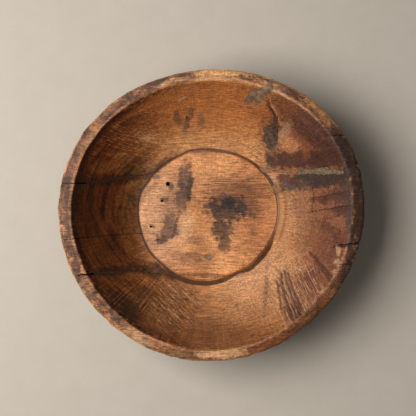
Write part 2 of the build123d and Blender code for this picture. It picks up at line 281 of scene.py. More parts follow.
def line_mesh(name, lines):
    """A mesh of bare edges, flat at level zero, along lines seen from above."""
    points = []
    edges = []
    for line in lines:
        edges += [(len(points) + step, len(points) + step + 1) for step in range(len(line) - 1)]
        points += [(x * MM, y * MM, 0.0) for x, y in line]
    mesh = bpy.data.meshes.new(name)
    mesh.from_pydata(points, edges, [])
    return mesh


gouge_lines = bpy.data.objects.new("gouge_lines", line_mesh("gouge_lines", GOUGES))
bpy.context.scene.collection.objects.link(gouge_lines)
print(f"{len(GOUGES)} gouge marks")

# %% [markdown]
# ## The sweep
# The rings could be joined in a Python loop, but the rule is the same at every angle, so Geometry Nodes say
# it once: a grid has one column for each step round the bowl and one row for each ring, every point looks up
# the values of its ring, and one formula puts it in place. Noise then moves the points a little along their
# normals, which gives the hewn unevenness that no two parts of a real bowl share.

# %% Name the inputs of the sweep
hardwood = bpy.data.materials.new("aged oiled hardwood")
SWEEP_INPUTS = {
    "Segments": 512,
    "Outline Turn": OUTLINE_TURN,
    "Groove Opening": 6.0 * MM,
    "Groove Depth": 2.5 * MM,
    "Groove Low Angle": radians(-97),
    "Groove Right Angle": radians(-40),
    "Hewing Size": 46.0 * MM,
    "Chip Size": 11.0 * MM,
    "Seed": 4.0,
    "Gouges": gouge_lines,
    "Gouge Width": 7.0 * MM,
    "Gouge Depth": 0.9 * MM,
    "Gouge Wander": 5.0 * MM,
    "Groove Fill": 3.6 * MM,
    "Groove Fill Angle": radians(6),
    "Disc Trim": 4.5 * MM,
    "Trim Low Angle": radians(-100),
    "Trim Left Angle": radians(133),
    "Wood": hardwood,
}
INPUT_KINDS = {
    int: "NodeSocketInt",
    float: "NodeSocketFloat",
    bpy.types.Object: "NodeSocketObject",
    bpy.types.Material: "NodeSocketMaterial",
}
print(f"{len(SWEEP_INPUTS)} inputs")

# %% Find the ring and the angle of every point
MATH = "ShaderNodeMath"
NAMED_VALUE = "GeometryNodeInputNamedAttribute"
RING_VALUES = {
    "position": "FLOAT_VECTOR",
    "outline": "FLOAT_VECTOR",
    "shift": "FLOAT_VECTOR",
    "wear": "FLOAT_VECTOR",
    "zone": "FLOAT",
    "trim": "FLOAT",
}


def ring_grid(tree, given):
    """A grid with a row for each ring, the angle of each of its points, and the values of their ring."""
    count = add_node(tree, "GeometryNodeAttributeDomainSize", {"Geometry": given["Rings"]}, component="MESH")
    columns = add_node(tree, MATH, {0: given["Segments"], 1: 1.0}, operation="ADD")
    grid = add_node(tree, "GeometryNodeMeshGrid", {"Vertices X": columns, "Vertices Y": count})
    index = add_node(tree, "GeometryNodeInputIndex")
    row = add_node(tree, MATH, {0: index, 1: count}, operation="FLOORED_MODULO")
    columns_passed = add_node(tree, MATH, {0: index, 1: count}, operation="DIVIDE")
    column = add_node(tree, MATH, {0: columns_passed}, operation="FLOOR")
    turn = add_node(tree, MATH, {0: column, 1: given["Segments"]}, operation="DIVIDE")
    angle = add_node(tree, MATH, {0: turn, 1: 2 * pi}, operation="MULTIPLY")
    values = {}
    for name, kind in RING_VALUES.items():
        attribute = add_node(tree, NAMED_VALUE, {"Name": name}, data_type=kind)
        values[name] = add_node(
            tree, "GeometryNodeSampleIndex", {"Geometry": given["Rings"], "Value": attribute, "Index": row},
            data_type=kind, domain="POINT",
        )
    return grid.outputs["Mesh"], angle, values


# %% [markdown]
# ## What differs round the bowl
# Three things change the outline at some angles only: the groove is wide at the bottom and the lower right,
# it is filled with hard dirt at the right, and the disc's edge is trimmed at the bottom and the upper left.
# Each fades out to both sides of its angle.

# %% Put the points in place
VECTOR_MATH = "ShaderNodeVectorMath"
MAP_RANGE = "ShaderNodeMapRange"
SEPARATE = "ShaderNodeSeparateXYZ"
STORE_VALUE = "GeometryNodeStoreNamedAttribute"
MERGE_DISTANCE = 0.02 * MM
WHOLE_SHARE = 0.4  # share of its reach in which a change of the outline is whole
# How far a change of the outline reaches to each side of its angle, in degrees
REACHES = {
    "Groove Low Angle": 37,
    "Groove Right Angle": 23,
    "Groove Fill Angle": 40,
    "Trim Low Angle": 50,
    "Trim Left Angle": 30,
}


def outline_changes(tree, given, angle):
    """How much of each change of the outline shows at an angle, from 0 to 1."""
    changes = {}
    for name, reach in REACHES.items():
        apart = add_node(tree, MATH, {0: angle, 1: given[name]}, operation="SUBTRACT")
        facing = add_node(tree, MATH, {0: apart}, operation="COSINE")
        limits = {1: cos(radians(reach)), 2: cos(radians(WHOLE_SHARE * reach))}
        changes[name] = add_node(tree, MAP_RANGE, {0: facing, **limits}, interpolation_type="SMOOTHSTEP")
    return changes


def swept_bowl(tree, given):
    """The grid, swept round and closed, with what later steps read kept on its points."""
    grid, angle, values = ring_grid(tree, given)
    place = add_node(tree, SEPARATE, {0: values["position"]}).outputs
    outline = add_node(tree, SEPARATE, {0: values["outline"]}).outputs

    # The oval with its three swells
    from_turn = add_node(tree, MATH, {0: angle, 1: given["Outline Turn"]}, operation="SUBTRACT")
    twice = add_node(tree, MATH, {0: from_turn, 1: 2.0}, operation="MULTIPLY")
    oval = add_node(tree, MATH, {0: twice}, operation="COSINE")
    from_swell = add_node(tree, MATH, {0: angle, 1: outline[1]}, operation="SUBTRACT")
    thrice = add_node(tree, MATH, {0: from_swell, 1: 3.0}, operation="MULTIPLY")
    swell = add_node(tree, MATH, {0: thrice}, operation="COSINE")
    stretched = add_node(tree, MATH, {0: place[1], 1: oval, 2: place[0]}, operation="MULTIPLY_ADD")
    swollen = add_node(tree, MATH, {0: outline[0], 1: swell, 2: stretched}, operation="MULTIPLY_ADD")

    # The groove opens and fills, and the disc is trimmed
    changes = outline_changes(tree, given, angle)
    wide = {0: changes["Groove Low Angle"], 1: changes["Groove Right Angle"]}
    opened = add_node(tree, MATH, wide, operation="MAXIMUM")
    share = add_node(tree, MATH, {0: opened, 1: outline[2]}, operation="MULTIPLY")
    bottom = {0: outline[2], 1: 1 / BEVEL_GROOVE}
    low_part = add_node(tree, MATH, bottom, operation="MULTIPLY", use_clamp=True)
    full = add_node(tree, MATH, {0: changes["Groove Fill Angle"], 1: low_part}, operation="MULTIPLY")
    cut_back = {0: changes["Trim Low Angle"], 1: changes["Trim Left Angle"]}
    trim_part = add_node(tree, MATH, cut_back, operation="MAXIMUM")
    trim_share = add_node(tree, MATH, {0: trim_part, 1: values["trim"]}, operation="MULTIPLY")
    trimmed = add_node(tree, MATH, {0: trim_share, 1: given["Disc Trim"]}, operation="MULTIPLY")
    widened = {0: share, 1: given["Groove Opening"], 2: swollen}
    untrimmed = add_node(tree, MATH, widened, operation="MULTIPLY_ADD")
    radius = add_node(tree, MATH, {0: untrimmed, 1: trimmed}, operation="SUBTRACT")
    sunk = add_node(tree, MATH, {0: share, 1: given["Groove Depth"]}, operation="MULTIPLY")
    emptied = add_node(tree, MATH, {0: place[2], 1: sunk}, operation="SUBTRACT")
    level = add_node(tree, MATH, {0: full, 1: given["Groove Fill"], 2: emptied}, operation="MULTIPLY_ADD")

    # From the angle, the radius and the level to a place
    corner = {"Z": level}
    for axis, side in (("X", "COSINE"), ("Y", "SINE")):
        turned = add_node(tree, MATH, {0: angle}, operation=side)
        corner[axis] = add_node(tree, MATH, {0: radius, 1: turned}, operation="MULTIPLY")
    point = add_node(tree, "ShaderNodeCombineXYZ", corner)
    shifted = add_node(tree, VECTOR_MATH, {0: point, 1: values["shift"]}, operation="ADD")
    swept = add_node(tree, "GeometryNodeSetPosition", {"Geometry": grid, "Position": shifted})
    for name in ("wear", "zone"):
        swept = add_node(
            tree, STORE_VALUE, {"Geometry": swept, "Name": name, "Value": values[name]},
            data_type=RING_VALUES[name], domain="POINT",
        )
    merged = add_node(tree, "GeometryNodeMergeByDistance", {"Geometry": swept, "Distance": MERGE_DISTANCE})
    return add_node(tree, "GeometryNodeFlipFaces", {"Mesh": merged})


# %% Roughen the wood and press the gouge marks into it
NOISE = "ShaderNodeTexNoise"
GOUGE_WAVES = 70.0  # waves of a gouge mark's line in a metre
HEWING_LOW, HEWING_HIGH = 0.25, 0.75  # noise that counts as fully in and fully out


def hewn_surface(tree, given, bowl):
    """Moves the points along their normals: hewn unevenness, chips of the rim and gouge marks."""
    kept = add_node(tree, NAMED_VALUE, {"Name": "wear"}, data_type="FLOAT_VECTOR")
    wear = add_node(tree, SEPARATE, {0: kept}).outputs
    position = add_node(tree, "GeometryNodeInputPosition")
    moved = 0.0
    for size, amount in (("Hewing Size", wear[0]), ("Chip Size", wear[1])):
        scale = add_node(tree, MATH, {0: 1.0, 1: given[size]}, operation="DIVIDE")
        lumps = {"Vector": position, "W": given["Seed"], "Scale": scale, "Detail": 2.0}
        rough = add_node(tree, NOISE, lumps, noise_dimensions="4D").outputs[0]
        in_and_out = {0: rough, 1: HEWING_LOW, 2: HEWING_HIGH, 3: -1.0, 4: 1.0}
        about_zero = add_node(tree, MAP_RANGE, in_and_out)
        moved = add_node(tree, MATH, {0: about_zero, 1: amount, 2: moved}, operation="MULTIPLY_ADD")

    # How near a point lies to a wandering gouge line, seen from above
    wavy = add_node(tree, NOISE, {"Vector": position, "Scale": GOUGE_WAVES, "Detail": 2.0}).outputs["Color"]
    about_middle = add_node(tree, VECTOR_MATH, {0: wavy, 1: (0.5, 0.5, 0.5)}, operation="SUBTRACT")
    wander = {0: about_middle, "Scale": given["Gouge Wander"]}
    strayed = add_node(tree, VECTOR_MATH, wander, operation="SCALE")
    wandered = add_node(tree, VECTOR_MATH, {0: position, 1: strayed}, operation="ADD")
    from_above = add_node(tree, VECTOR_MATH, {0: wandered, 1: (1.0, 1.0, 0.0)}, operation="MULTIPLY")
    lines = add_node(tree, "GeometryNodeObjectInfo", {"Object": given["Gouges"]}).outputs["Geometry"]
    nearest = add_node(
        tree, "GeometryNodeProximity", {0: lines, "Sample Position": from_above}, target_element="EDGES"
    ).outputs["Distance"]
    half = add_node(tree, MATH, {0: given["Gouge Width"], 1: 0.5}, operation="MULTIPLY")
    fading = {0: nearest, 1: 0.0, 2: half, 3: 1.0, 4: 0.0}
    pressed = add_node(tree, MAP_RANGE, fading, interpolation_type="SMOOTHSTEP")
    gouge = add_node(tree, MATH, {0: pressed, 1: wear[2]}, operation="MULTIPLY")
    pressing = {"Geometry": bowl, "Name": "gouge", "Value": gouge}
    marked = add_node(tree, STORE_VALUE, pressing, data_type="FLOAT", domain="POINT")
    stored = add_node(tree, NAMED_VALUE, {"Name": "gouge"}, data_type="FLOAT")
    cut = add_node(tree, MATH, {0: stored, 1: given["Gouge Depth"]}, operation="MULTIPLY")
    along = add_node(tree, MATH, {0: moved, 1: cut}, operation="SUBTRACT")
    normal = add_node(tree, "GeometryNodeInputNormal")
    offset = add_node(tree, VECTOR_MATH, {0: normal, "Scale": along}, operation="SCALE")
    return add_node(tree, "GeometryNodeSetPosition", {"Geometry": marked, "Offset": offset})


# %% Build the sweep
def sweep_tree():
    """The tree that sweeps the rings round into a bowl, and its inputs' identifiers."""
    tree = bpy.data.node_groups.new("carved_bowl_sweep", "GeometryNodeTree")
    tree.interface.new_socket("Rings", in_out="INPUT", socket_type="NodeSocketGeometry")
    tree.interface.new_socket("Bowl", in_out="OUTPUT", socket_type="NodeSocketGeometry")
    identifiers = {}
    for name, value in SWEEP_INPUTS.items():
        socket = tree.interface.new_socket(name, in_out="INPUT", socket_type=INPUT_KINDS[type(value)])
        identifiers[name] = socket.identifier
    given = add_node(tree, "NodeGroupInput").outputs
    hewn = hewn_surface(tree, given, swept_bowl(tree, given))
    plain = add_node(tree, "GeometryNodeRealizeInstances", {"Geometry": hewn})
    painted = add_node(tree, "GeometryNodeSetMaterial", {"Geometry": plain, "Material": given["Wood"]})
    add_node(tree, "NodeGroupOutput", {"Bowl": painted})
    return tree, identifiers


sweep, sweep_ids = sweep_tree()
print(f"sweep tree of {len(sweep.nodes)} nodes")

# %% [markdown]
# ## Sweep the bowl
# The object starts as the bare rings, one point each. The modifier turns them into the bowl, and the
# evaluated result becomes a plain mesh, because a finished piece carries no live modifier into the export.

# %% Make the bowl
def ring_mesh(name, rings):
    """The rings as points, with the values of each ring as attributes."""
    mesh = bpy.data.meshes.new(name)
    chain = [(step, step + 1) for step in range(len(rings) - 1)]
    mesh.from_pydata([one["place"] for one in rings], chain, [])
    for key in ("outline", "shift", "wear"):
        attribute = mesh.attributes.new(key, "FLOAT_VECTOR", "POINT")
        attribute.data.foreach_set("vector", [value for one in rings for value in one[key]])
    for key in ("zone", "trim"):
        mesh.attributes.new(key, "FLOAT", "POINT").data.foreach_set("value", [one[key] for one in rings])
    return mesh


def make_plain(piece):
    """Replaces an object's mesh by what its modifiers make of it, and removes them."""
    evaluated = piece.evaluated_get(bpy.context.evaluated_depsgraph_get())
    mesh = bpy.data.meshes.new_from_object(evaluated)
    if mesh.materials and mesh.materials[0] is None:
        mesh.materials.pop(index=0)
    piece.modifiers.clear()
    piece.data = mesh


def put_in_scene(name, mesh, *materials):
    """A new object at the origin, with its place in its mesh."""
    piece = bpy.data.objects.new(name, mesh)
    bpy.context.scene.collection.objects.link(piece)
    for material in materials:
        mesh.materials.append(material)
    return piece


carved_bowl = put_in_scene("carved_bowl", ring_mesh("carved_bowl", rings))
modifier = carved_bowl.modifiers.new("sweep", "NODES")
modifier.node_group = sweep
for name, value in SWEEP_INPUTS.items():
    modifier[sweep_ids[name]] = value
make_plain(carved_bowl)
bpy.data.objects.remove(gouge_lines)
shape = bmesh.new()
shape.from_mesh(carved_bowl.data)
print(f"bowl of {len(shape.faces)} faces, volume {shape.calc_volume(signed=True) * 1e6:.0f} cm3,",
      f"{sum(not edge.is_manifold for edge in shape.edges)} open edges")
shape.free()

# %% [markdown]
# ## Where the wood is
# Cracks and fillings follow the surface of the bowl, so the next steps ask for its level at a place. A ray
# from above against the carved mesh gives it, hewn unevenness included. The zone and the gouge pressing of
# every point are kept too, because the cuts blur them and they are put back afterwards.

# %% Ask for the level of the wood
LOOK_DOWN = Vector((0, 0, -1))
wood_surface = BVHTree.FromPolygons(
    [point.co for point in carved_bowl.data.vertices], [face.vertices for face in carved_bowl.data.polygons]
)


def level_at(x, y, beside=HEIGHT - RIM_DROP):
    """The level of the wood at a place seen from above, in millimetres."""
    hit = wood_surface.ray_cast(Vector((x * MM, y * MM, 2 * HEIGHT * MM)), LOOK_DOWN)[0]
    return hit.z / MM if hit else beside


CARVED = ("zone", "gouge")
carved_values = {name: [one.value for one in carved_bowl.data.attributes[name].data] for name in CARVED}
carved_points = KDTree(len(carved_bowl.data.vertices))
for point in carved_bowl.data.vertices:
    carved_points.insert(point.co, point.index)
carved_points.balance()
print(f"the disc lies {level_at(*DISC_SHIFT):.1f} mm above the foot")

# %% [markdown]
# ## Cracks
# Wood dries fastest through its end grain, so the cracks run in from the two ends of the bowl, and at the rim
# they go right through. A crack could be painted, but its dark comes from real depth, and the faces of its
# cut are painted nearly black as dirt and painted shade. Each is cut by a thin wedge that follows the wall,
# with a wandering line and an uneven width.

# %% Draw the cracks and hairlines, as places (x, y, width) in millimetres
CRACKS = {
    "upper_left": [(-238, 47, 1.8), (-204, 48, 2.0), (-178, 52, 2.4), (-144, 58, 2.0), (-102, 65, 0.6)],
    "middle_left": [(-238, -38, 1.6), (-172, -32, 1.5), (-118, -29, 1.3), (-84, -30, 0.6)],
    "lower_left": [(-228, -95, 3.2), (-194, -89, 3.4), (-176, -88, 4.0), (-125, -88, 2.0), (-72, -95, 0.8)],
    "upper_right": [(214, 119, 2.4), (190, 121, 2.2), (183, 119, 1.6), (169, 122, 0.5)],
    "middle_right": [(236, -42, 1.4), (205, -42, 1.5), (193, -45, 1.2), (184, -49, 0.4)],
    "lower_right": [(226, -74, 1.6), (194, -73, 1.3), (187, -73, 0.4)],
}
HAIRLINES = {
    "disc": [(-5, 25, 0.4), (46, 28, 1.0), (102, 32, 0.6)],
    "floor": [(80, -65, 0.5), (96, -61, 0.9), (116, -57, 0.5)],
    "right_upper": [(158, 28, 0.5), (180, 30, 1.5), (206, 36, 1.0)],
    "right_middle": [(150, 4, 0.5), (182, 10, 1.4), (210, 16, 1.0)],
    "right_lower": [(166, -8, 0.5), (184, -3, 1.2), (203, 4, 0.6)],
    "right_upright": [(158, 44, 0.6), (160, 26, 1.4), (159, 5, 0.6)],
    "top_right": [(85, 178, 1.0), (91, 166, 1.4), (98, 151, 0.6)],
}
print(f"{len(CRACKS)} cracks and {len(HAIRLINES)} hairlines")

# %% Make the wedges that open them
CUT_ABOVE = 12.0  # how far a cutter reaches above the wood
CRACK_STEP = 2.0
CRACK_DEPTH, CRACK_RIM_DEPTH, HAIRLINE_DEPTH = 5.0, 22.0, 2.0
CRACK_WANDER, HAIRLINE_WANDER, WANDER_SIZE = 1.1, 1.6, 9.0
WIDTH_CHANGE, WIDTH_SIZE, LEAST_HALF = 0.6, 3.0, 0.1
BOTTOM_SHARE = 0.3  # share of its width that a wedge keeps at its bottom
RIM_POWER = 14  # how late a wedge deepens on its way to the rim
EDGE_RISE, EDGE_STEEPNESS = 0.85, 12  # how far its bottom comes up again past the inner edge, and how fast
HAIRLINE_SEED = 20
WIDTH_SEED = 5


def along_line(places, step):
    """Evenly spaced places along a line of places."""
    spaced = []
    for first, second in zip(places, places[1:]):
        count = max(1, ceil(hypot(second[0] - first[0], second[1] - first[1]) / step))
        for number in range(count):
            spaced.append([between(low, high, number / count) for low, high in zip(first, second)])
    return spaced + [list(places[-1])]


def crack_wedge(name, places, depth, rim_depth, wander, seed):
    """A thin uneven wedge under a line seen from above. It goes deeper towards the rim."""
    line = along_line(places, CRACK_STEP)
    points = []
    for number, (x, y, width) in enumerate(line):
        before, after = line[max(0, number - 1)], line[min(len(line) - 1, number + 1)]
        across = Vector((before[1] - after[1], after[0] - before[0])).normalized()
        middle = Vector((x, y)) + across * wander * noise.noise((x / WANDER_SIZE, y / WANDER_SIZE, seed))
        uneven = noise.noise((x / WIDTH_SIZE, y / WIDTH_SIZE, seed + WIDTH_SEED))
        half = max(LEAST_HALF, width / 2 * (1 + WIDTH_CHANGE * uneven))
        out = hypot(x, y) / (RIM_WIDTH / 2 - RIM_THICKNESS_SIDES)
        over_edge = min(1.0, max(0.0, out - 1) * EDGE_STEEPNESS)
        level = level_at(*middle)
        full_depth = between(depth, rim_depth, min(1.0, out) ** RIM_POWER)
        top, bottom = level + CUT_ABOVE, level - full_depth * (1 - EDGE_RISE * over_edge)
        for side, height in ((1, top), (-1, top), (-BOTTOM_SHARE, bottom), (BOTTOM_SHARE, bottom)):
            place = middle + across * half * side
            points.append((place.x * MM, place.y * MM, height * MM))
    faces = [(3, 2, 1, 0), tuple(len(points) - step for step in (4, 3, 2, 1))]
    for start in range(0, len(points) - 4, 4):
        for corner in range(4):
            other = (corner + 1) % 4
            faces.append((start + corner, start + other, start + 4 + other, start + 4 + corner))
    mesh = bpy.data.meshes.new(name)
    mesh.from_pydata(points, [], faces)
    return mesh


# The faces of every cut take packed dirt and painted shade, nearly black
dirt_and_shade_in_cuts = bpy.data.materials.new("dirt in the cracks")
cutters = []
for seed, (name, places) in enumerate(CRACKS.items()):
    mesh = crack_wedge(f"crack_{name}", places, CRACK_DEPTH, CRACK_RIM_DEPTH, CRACK_WANDER, seed)
    cutters.append(put_in_scene(mesh.name, mesh, dirt_and_shade_in_cuts))
for seed, (name, places) in enumerate(HAIRLINES.items(), HAIRLINE_SEED):
    mesh = crack_wedge(f"hairline_{name}", places, HAIRLINE_DEPTH, HAIRLINE_DEPTH, HAIRLINE_WANDER, seed)
    cutters.append(put_in_scene(mesh.name, mesh, dirt_and_shade_in_cuts))
print(f"{len(cutters)} wedges")

# %% [markdown]
# ## Lumps
# A stopping is pushed into its hole soft and hardens there: its outline is ragged, its face is gritty and a
# little sunk. One function makes such a lump from an outline seen from above. It fills the outline with small
# triangles, lays them on the wood and closes the lump below. The same function, with a margin and a high top,
# makes the cutter for the pocket, so that the two always fit.

# %% Make a lump
SPACING = 1.4
MERGE_LIMIT = 1e-6
RAGGED_SIZES = (3.5, 9.0)


def ragged_outline(outline, ragged, seed, margin):
    """An outline with a point every spacing, pushed in and out at random and moved out by a margin."""
    loop = along_line([*outline, outline[0]], SPACING)[:-1]
    area = sum(a[0] * b[1] - b[0] * a[1] for a, b in zip(loop, loop[1:] + loop[:1]))
    loop = loop if area > 0 else loop[::-1]
    points = []
    for number, (x, y) in enumerate(loop):
        before, after = loop[number - 1], loop[(number + 1) % len(loop)]
        outwards = Vector((after[1] - before[1], before[0] - after[0])).normalized()
        push = margin
        for size in RAGGED_SIZES:
            push += ragged * noise.noise((x / size, y / size, seed))
        points.append(Vector((x, y)) + outwards * push)
    return points


def filled_outline(edge):
    """Small triangles inside an outline: their points, the triangles, and the loop of points on the edge."""
    low = [min(point[axis] for point in edge) for axis in (0, 1)]
    high = [max(point[axis] for point in edge) for axis in (0, 1)]
    inner = [
        Vector((low[0] + SPACING * column, low[1] + SPACING * row))
        for column in range(1, ceil((high[0] - low[0]) / SPACING))
        for row in range(1, ceil((high[1] - low[1]) / SPACING))
    ]
    inner = [point for point in inner if min((point - side).length for side in edge) > SPACING / 2]
    filled = delaunay_2d_cdt(edge + inner, [], [list(range(len(edge)))], 1, MERGE_LIMIT)
    flat, triangles, origins = filled[0], filled[2], filled[3]
    loop = [next(new for new, old in enumerate(origins) if number in old) for number in range(len(edge))]
    return flat, triangles, loop


def lump(name, outline, depth, seed, face, ragged, margin=0.0):
    """A closed lump under an outline seen from above. face gives the rise of its top at a place."""
    edge = ragged_outline(outline, ragged, seed, margin)
    flat, triangles, loop = filled_outline(edge)
    tops = []
    bottoms = []
    for point in flat:
        level = level_at(*point)
        inwards = min((point - side).length for side in edge)
        tops.append((point.x * MM, point.y * MM, (level + face(point, inwards)) * MM))
        bottoms.append((point.x * MM, point.y * MM, (level - depth - margin) * MM))
    count = len(flat)
    faces = [tuple(triangle) for triangle in triangles]
    faces += [tuple(count + corner for corner in triangle[::-1]) for triangle in triangles]
    faces += [(count + a, count + b, b, a) for a, b in zip(loop, loop[1:] + loop[:1])]
    mesh = bpy.data.meshes.new(name)
    mesh.from_pydata(tops + bottoms, [], faces)
    shape = bmesh.new()
    shape.from_mesh(mesh)
    bmesh.ops.delete(shape, geom=[point for point in shape.verts if not point.link_faces], context="VERTS")
    shape.to_mesh(mesh)
    shape.free()
    return mesh


# %% Give the lump a face, and make its pocket
FIT = 0.2  # gap between a lump and the wall of its pocket
CROWN_REACH = 4.0  # distance from its edge at which a lump reaches its crown
FINE_GRIT, COARSE_GRIT = 1.6, 5.5
FINE_SHARE = 0.5
COARSE_SEED = 3


def high_face(point, inwards):
    """The top of a cutter, clear of the wood."""
    return CUT_ABOVE


def gritty_face(sink, crown, grit, seed):
    """A face that is sunk at its edge, swells to its crown and is rough with grit, all in millimetres."""
    def rise(point, inwards):
        swelling = crown * min(1.0, inwards / CROWN_REACH)
        fine = noise.noise((point.x / FINE_GRIT, point.y / FINE_GRIT, seed))
        coarse = noise.noise((point.x / COARSE_GRIT, point.y / COARSE_GRIT, seed + COARSE_SEED))
        return swelling - sink + grit * (FINE_SHARE * fine + coarse)
    return rise


def pocket(name, outline, depth, seed, ragged):
    """Adds the cutter that makes room for a lump."""
    mesh = lump(f"pocket_{name}", outline, depth, seed, high_face, ragged, margin=FIT)
    cutters.append(put_in_scene(mesh.name, mesh, dirt_and_shade_in_cuts))


# %% [markdown]
# ## The outlines of the stoppings
# The stoppings of the two left cracks and of the split are bands along a line, those of the rim, the groove
# and the knot are odd patches, and the plug in the disc is round. All lie where the measured model has them.

# %% Outlines seen from above, in millimetres
def band(places):
    """The outline of a band along a line of places (x, y, width)."""
    upper = [(x, y + width / 2) for x, y, width in places]
    lower = [(x, y - width / 2) for x, y, width in places]
    return upper + lower[::-1]


def round_outline(x, y, half_length, half_width, points=14):
    """A round outline about a place."""
    turns = [2 * pi * step / points for step in range(points)]
    return [(x + half_length * cos(turn), y + half_width * sin(turn)) for turn in turns]


def on_oval(angle, length, width, swell, shift, places):
    """Places (along an outline, inwards from it) as points seen from above."""
    radius = radius_at(angle, length, width, *swell)
    centre = middle_shift(length, width, *swell)
    points = []
    for along, inwards in places:
        x = centre[0] + shift[0] + (radius - inwards) * cos(angle) + along * sin(angle)
        y = centre[1] + shift[1] + (radius - inwards) * sin(angle) - along * cos(angle)
        points.append((x, y))
    return points


def edges_of(node):
    """Where a node of the measured model starts and ends along the grain, in millimetres."""
    low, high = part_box(node)
    return low.x / MM, high.x / MM


putty_start, putty_end = edges_of("split_stopping")
sliver_start, sliver_end = edges_of("split_sliver")
groove_start, groove_end = edges_of("groove_stopping_upper")
plug_start, plug_end = edges_of("split_rim_plug")
SPLIT_Y, SPLIT_CLIMB = 65.0, 6.5


def split_y(x):
    """Where the split lies across the grain, at a place along it."""
    return SPLIT_Y + SPLIT_CLIMB * (plug_start - x) / (plug_start - groove_start)


def split_band(start, start_width, end, end_width):
    """The outline of a band along the split."""
    return band([(start, split_y(start), start_width), (end, split_y(end), end_width)])


# The putty of the split, as a share of the way along it and its two edges beside the split
SPLIT_EDGES = [(0.0, 5.5, -5.0), (0.12, 4.2, -3.8), (0.28, 3.6, -2.4), (0.48, 6.6, -3.4), (0.62, 7.4, -3.6),
               (0.76, 4.0, -3.0), (1.0, 3.0, -2.8)]
split_upper = []
split_lower = []
for along, above, below in SPLIT_EDGES:
    x = between(putty_start, putty_end, along)
    split_upper.append((x, split_y(x) + above))
    split_lower.append((x, split_y(x) + below))
print(f"the split runs from x {groove_start:.0f} to {plug_end:.0f} mm")

# %% Draw the patches, as places along the edge that they lie on and inwards from it
RIM_PATCH = [(-19, 26), (-17, 10), (-6, 2), (1, -1), (3, -12), (10, -12), (13.5, -4), (8.5, 8), (5.5, 17),
             (1, 21), (-6.5, 19)]
KNOT = [(-20, 54), (-12, 41), (-15, 33), (-15, 26), (13, 57), (10, 71), (2, 72), (-13, 59)]
GROOVE_PATCH = [(-5, 6), (6, 5), (9, -9), (2, -14), (-7, -6)]
RIM_PATCH_ANGLE, KNOT_ANGLE, GROOVE_PATCH_ANGLE = radians(67.5), radians(51.5), radians(21.3)
SLIVER_WIDTHS, GROOVE_PUTTY_WIDTH = (2.8, 7.0), 7.4
PLUG_X, PLUG_Y, PLUG_HALF_LENGTH, PLUG_HALF_WIDTH = 0.5, -64.5, 6.8, 5.0  # from the middle of the disc
inner_edge = (INNER_LENGTH, INNER_WIDTH, RIM_SWELL, NO_SHIFT)
groove_edge = (DISC_LENGTH + 2 * DISC_BEVEL, DISC_WIDTH + 2 * DISC_BEVEL, DISC_SWELL, DISC_SHIFT)
outlines = {
    "crack_stopping_upper": band([(-190, 50, 2.2), (-177, 52, 2.8), (-144, 58, 2.6), (-119, 62, 1.8)]),
    "crack_stopping_lower": band([(-178, -88, 4.0), (-150, -88, 4.2), (-125, -88, 3.2), (-101, -91, 2.2)]),
    "split_stopping": split_upper + split_lower[::-1],
    "split_sliver": split_band(sliver_start, SLIVER_WIDTHS[0], sliver_end, SLIVER_WIDTHS[1]),
    "groove_stopping_upper": split_band(groove_start, GROOVE_PUTTY_WIDTH, groove_end, GROOVE_PUTTY_WIDTH),
    "groove_stopping_lower": on_oval(GROOVE_PATCH_ANGLE, *groove_edge, GROOVE_PATCH),
    "rim_stopping": on_oval(RIM_PATCH_ANGLE, *inner_edge, RIM_PATCH),
    "knot_pitch": on_oval(KNOT_ANGLE, *inner_edge, KNOT),
    "floor_plug": round_outline(
        DISC_SHIFT[0] + PLUG_X, DISC_SHIFT[1] + PLUG_Y, PLUG_HALF_LENGTH, PLUG_HALF_WIDTH
    ),
}
print(f"{len(outlines)} outlines")

# %% [markdown]
# ## The stoppings
# Each mend has its own habit. The putty of the cracks sank as it dried, that of the groove stands proud, and
# the sliver of wood is nearly smooth. So a table says how deep each goes, how far its edge sinks and its
# middle swells, and how gritty and ragged it is, and one loop makes them all.

# %% Make the stoppings
materials = {}
for name in ("chalk putty, pale", "chalk putty, grey", "chalk putty, olive", "old dark putty", "black pitch",
             "pale dry hardwood", "dark dry hardwood"):
    materials[name] = bpy.data.materials.new(name)
# Each as depth, sink, crown, grit and raggedness in millimetres, material and slot
STOPPINGS = {
    "crack_stopping_upper": (4.0, 0.9, 0.3, 0.5, 0.6, "old dark putty", "dark_putty"),
    "crack_stopping_lower": (4.0, 1.0, 0.3, 0.6, 0.8, "old dark putty", "dark_putty"),
    "split_stopping": (7.0, 0.2, 1.0, 0.9, 1.5, "chalk putty, pale", "pale_putty"),
    "split_sliver": (7.0, 0.0, 0.4, 0.3, 0.9, "pale dry hardwood", "sliver_wood"),
    "groove_stopping_upper": (3.0, 0.0, 1.2, 0.6, 1.4, "chalk putty, olive", "green_putty"),
    "groove_stopping_lower": (3.0, 0.0, 1.2, 0.6, 1.6, "chalk putty, olive", "green_putty"),
    "rim_stopping": (6.0, 0.1, 0.4, 0.6, 1.8, "chalk putty, grey", "grey_putty"),
    "knot_pitch": (4.0, 0.9, 0.2, 0.8, 1.7, "black pitch", "pitch"),
    "floor_plug": (6.0, 0.3, 0.2, 0.3, 0.8, "chalk putty, grey", "grey_putty"),
}
STOPPING_SEED = 40
fillings = {}
for seed, (node, (depth, sink, crown, grit, ragged, material, _)) in enumerate(STOPPINGS.items()):
    pocket(node, outlines[node], depth, seed + STOPPING_SEED, ragged)
    face = gritty_face(sink, crown, grit, seed)
    mesh = lump(node, outlines[node], depth, seed + STOPPING_SEED, face, ragged)
    fillings[node] = put_in_scene(f"{node}_lump", mesh, materials[material])
    print(f"{node}: {len(mesh.polygons)} faces")
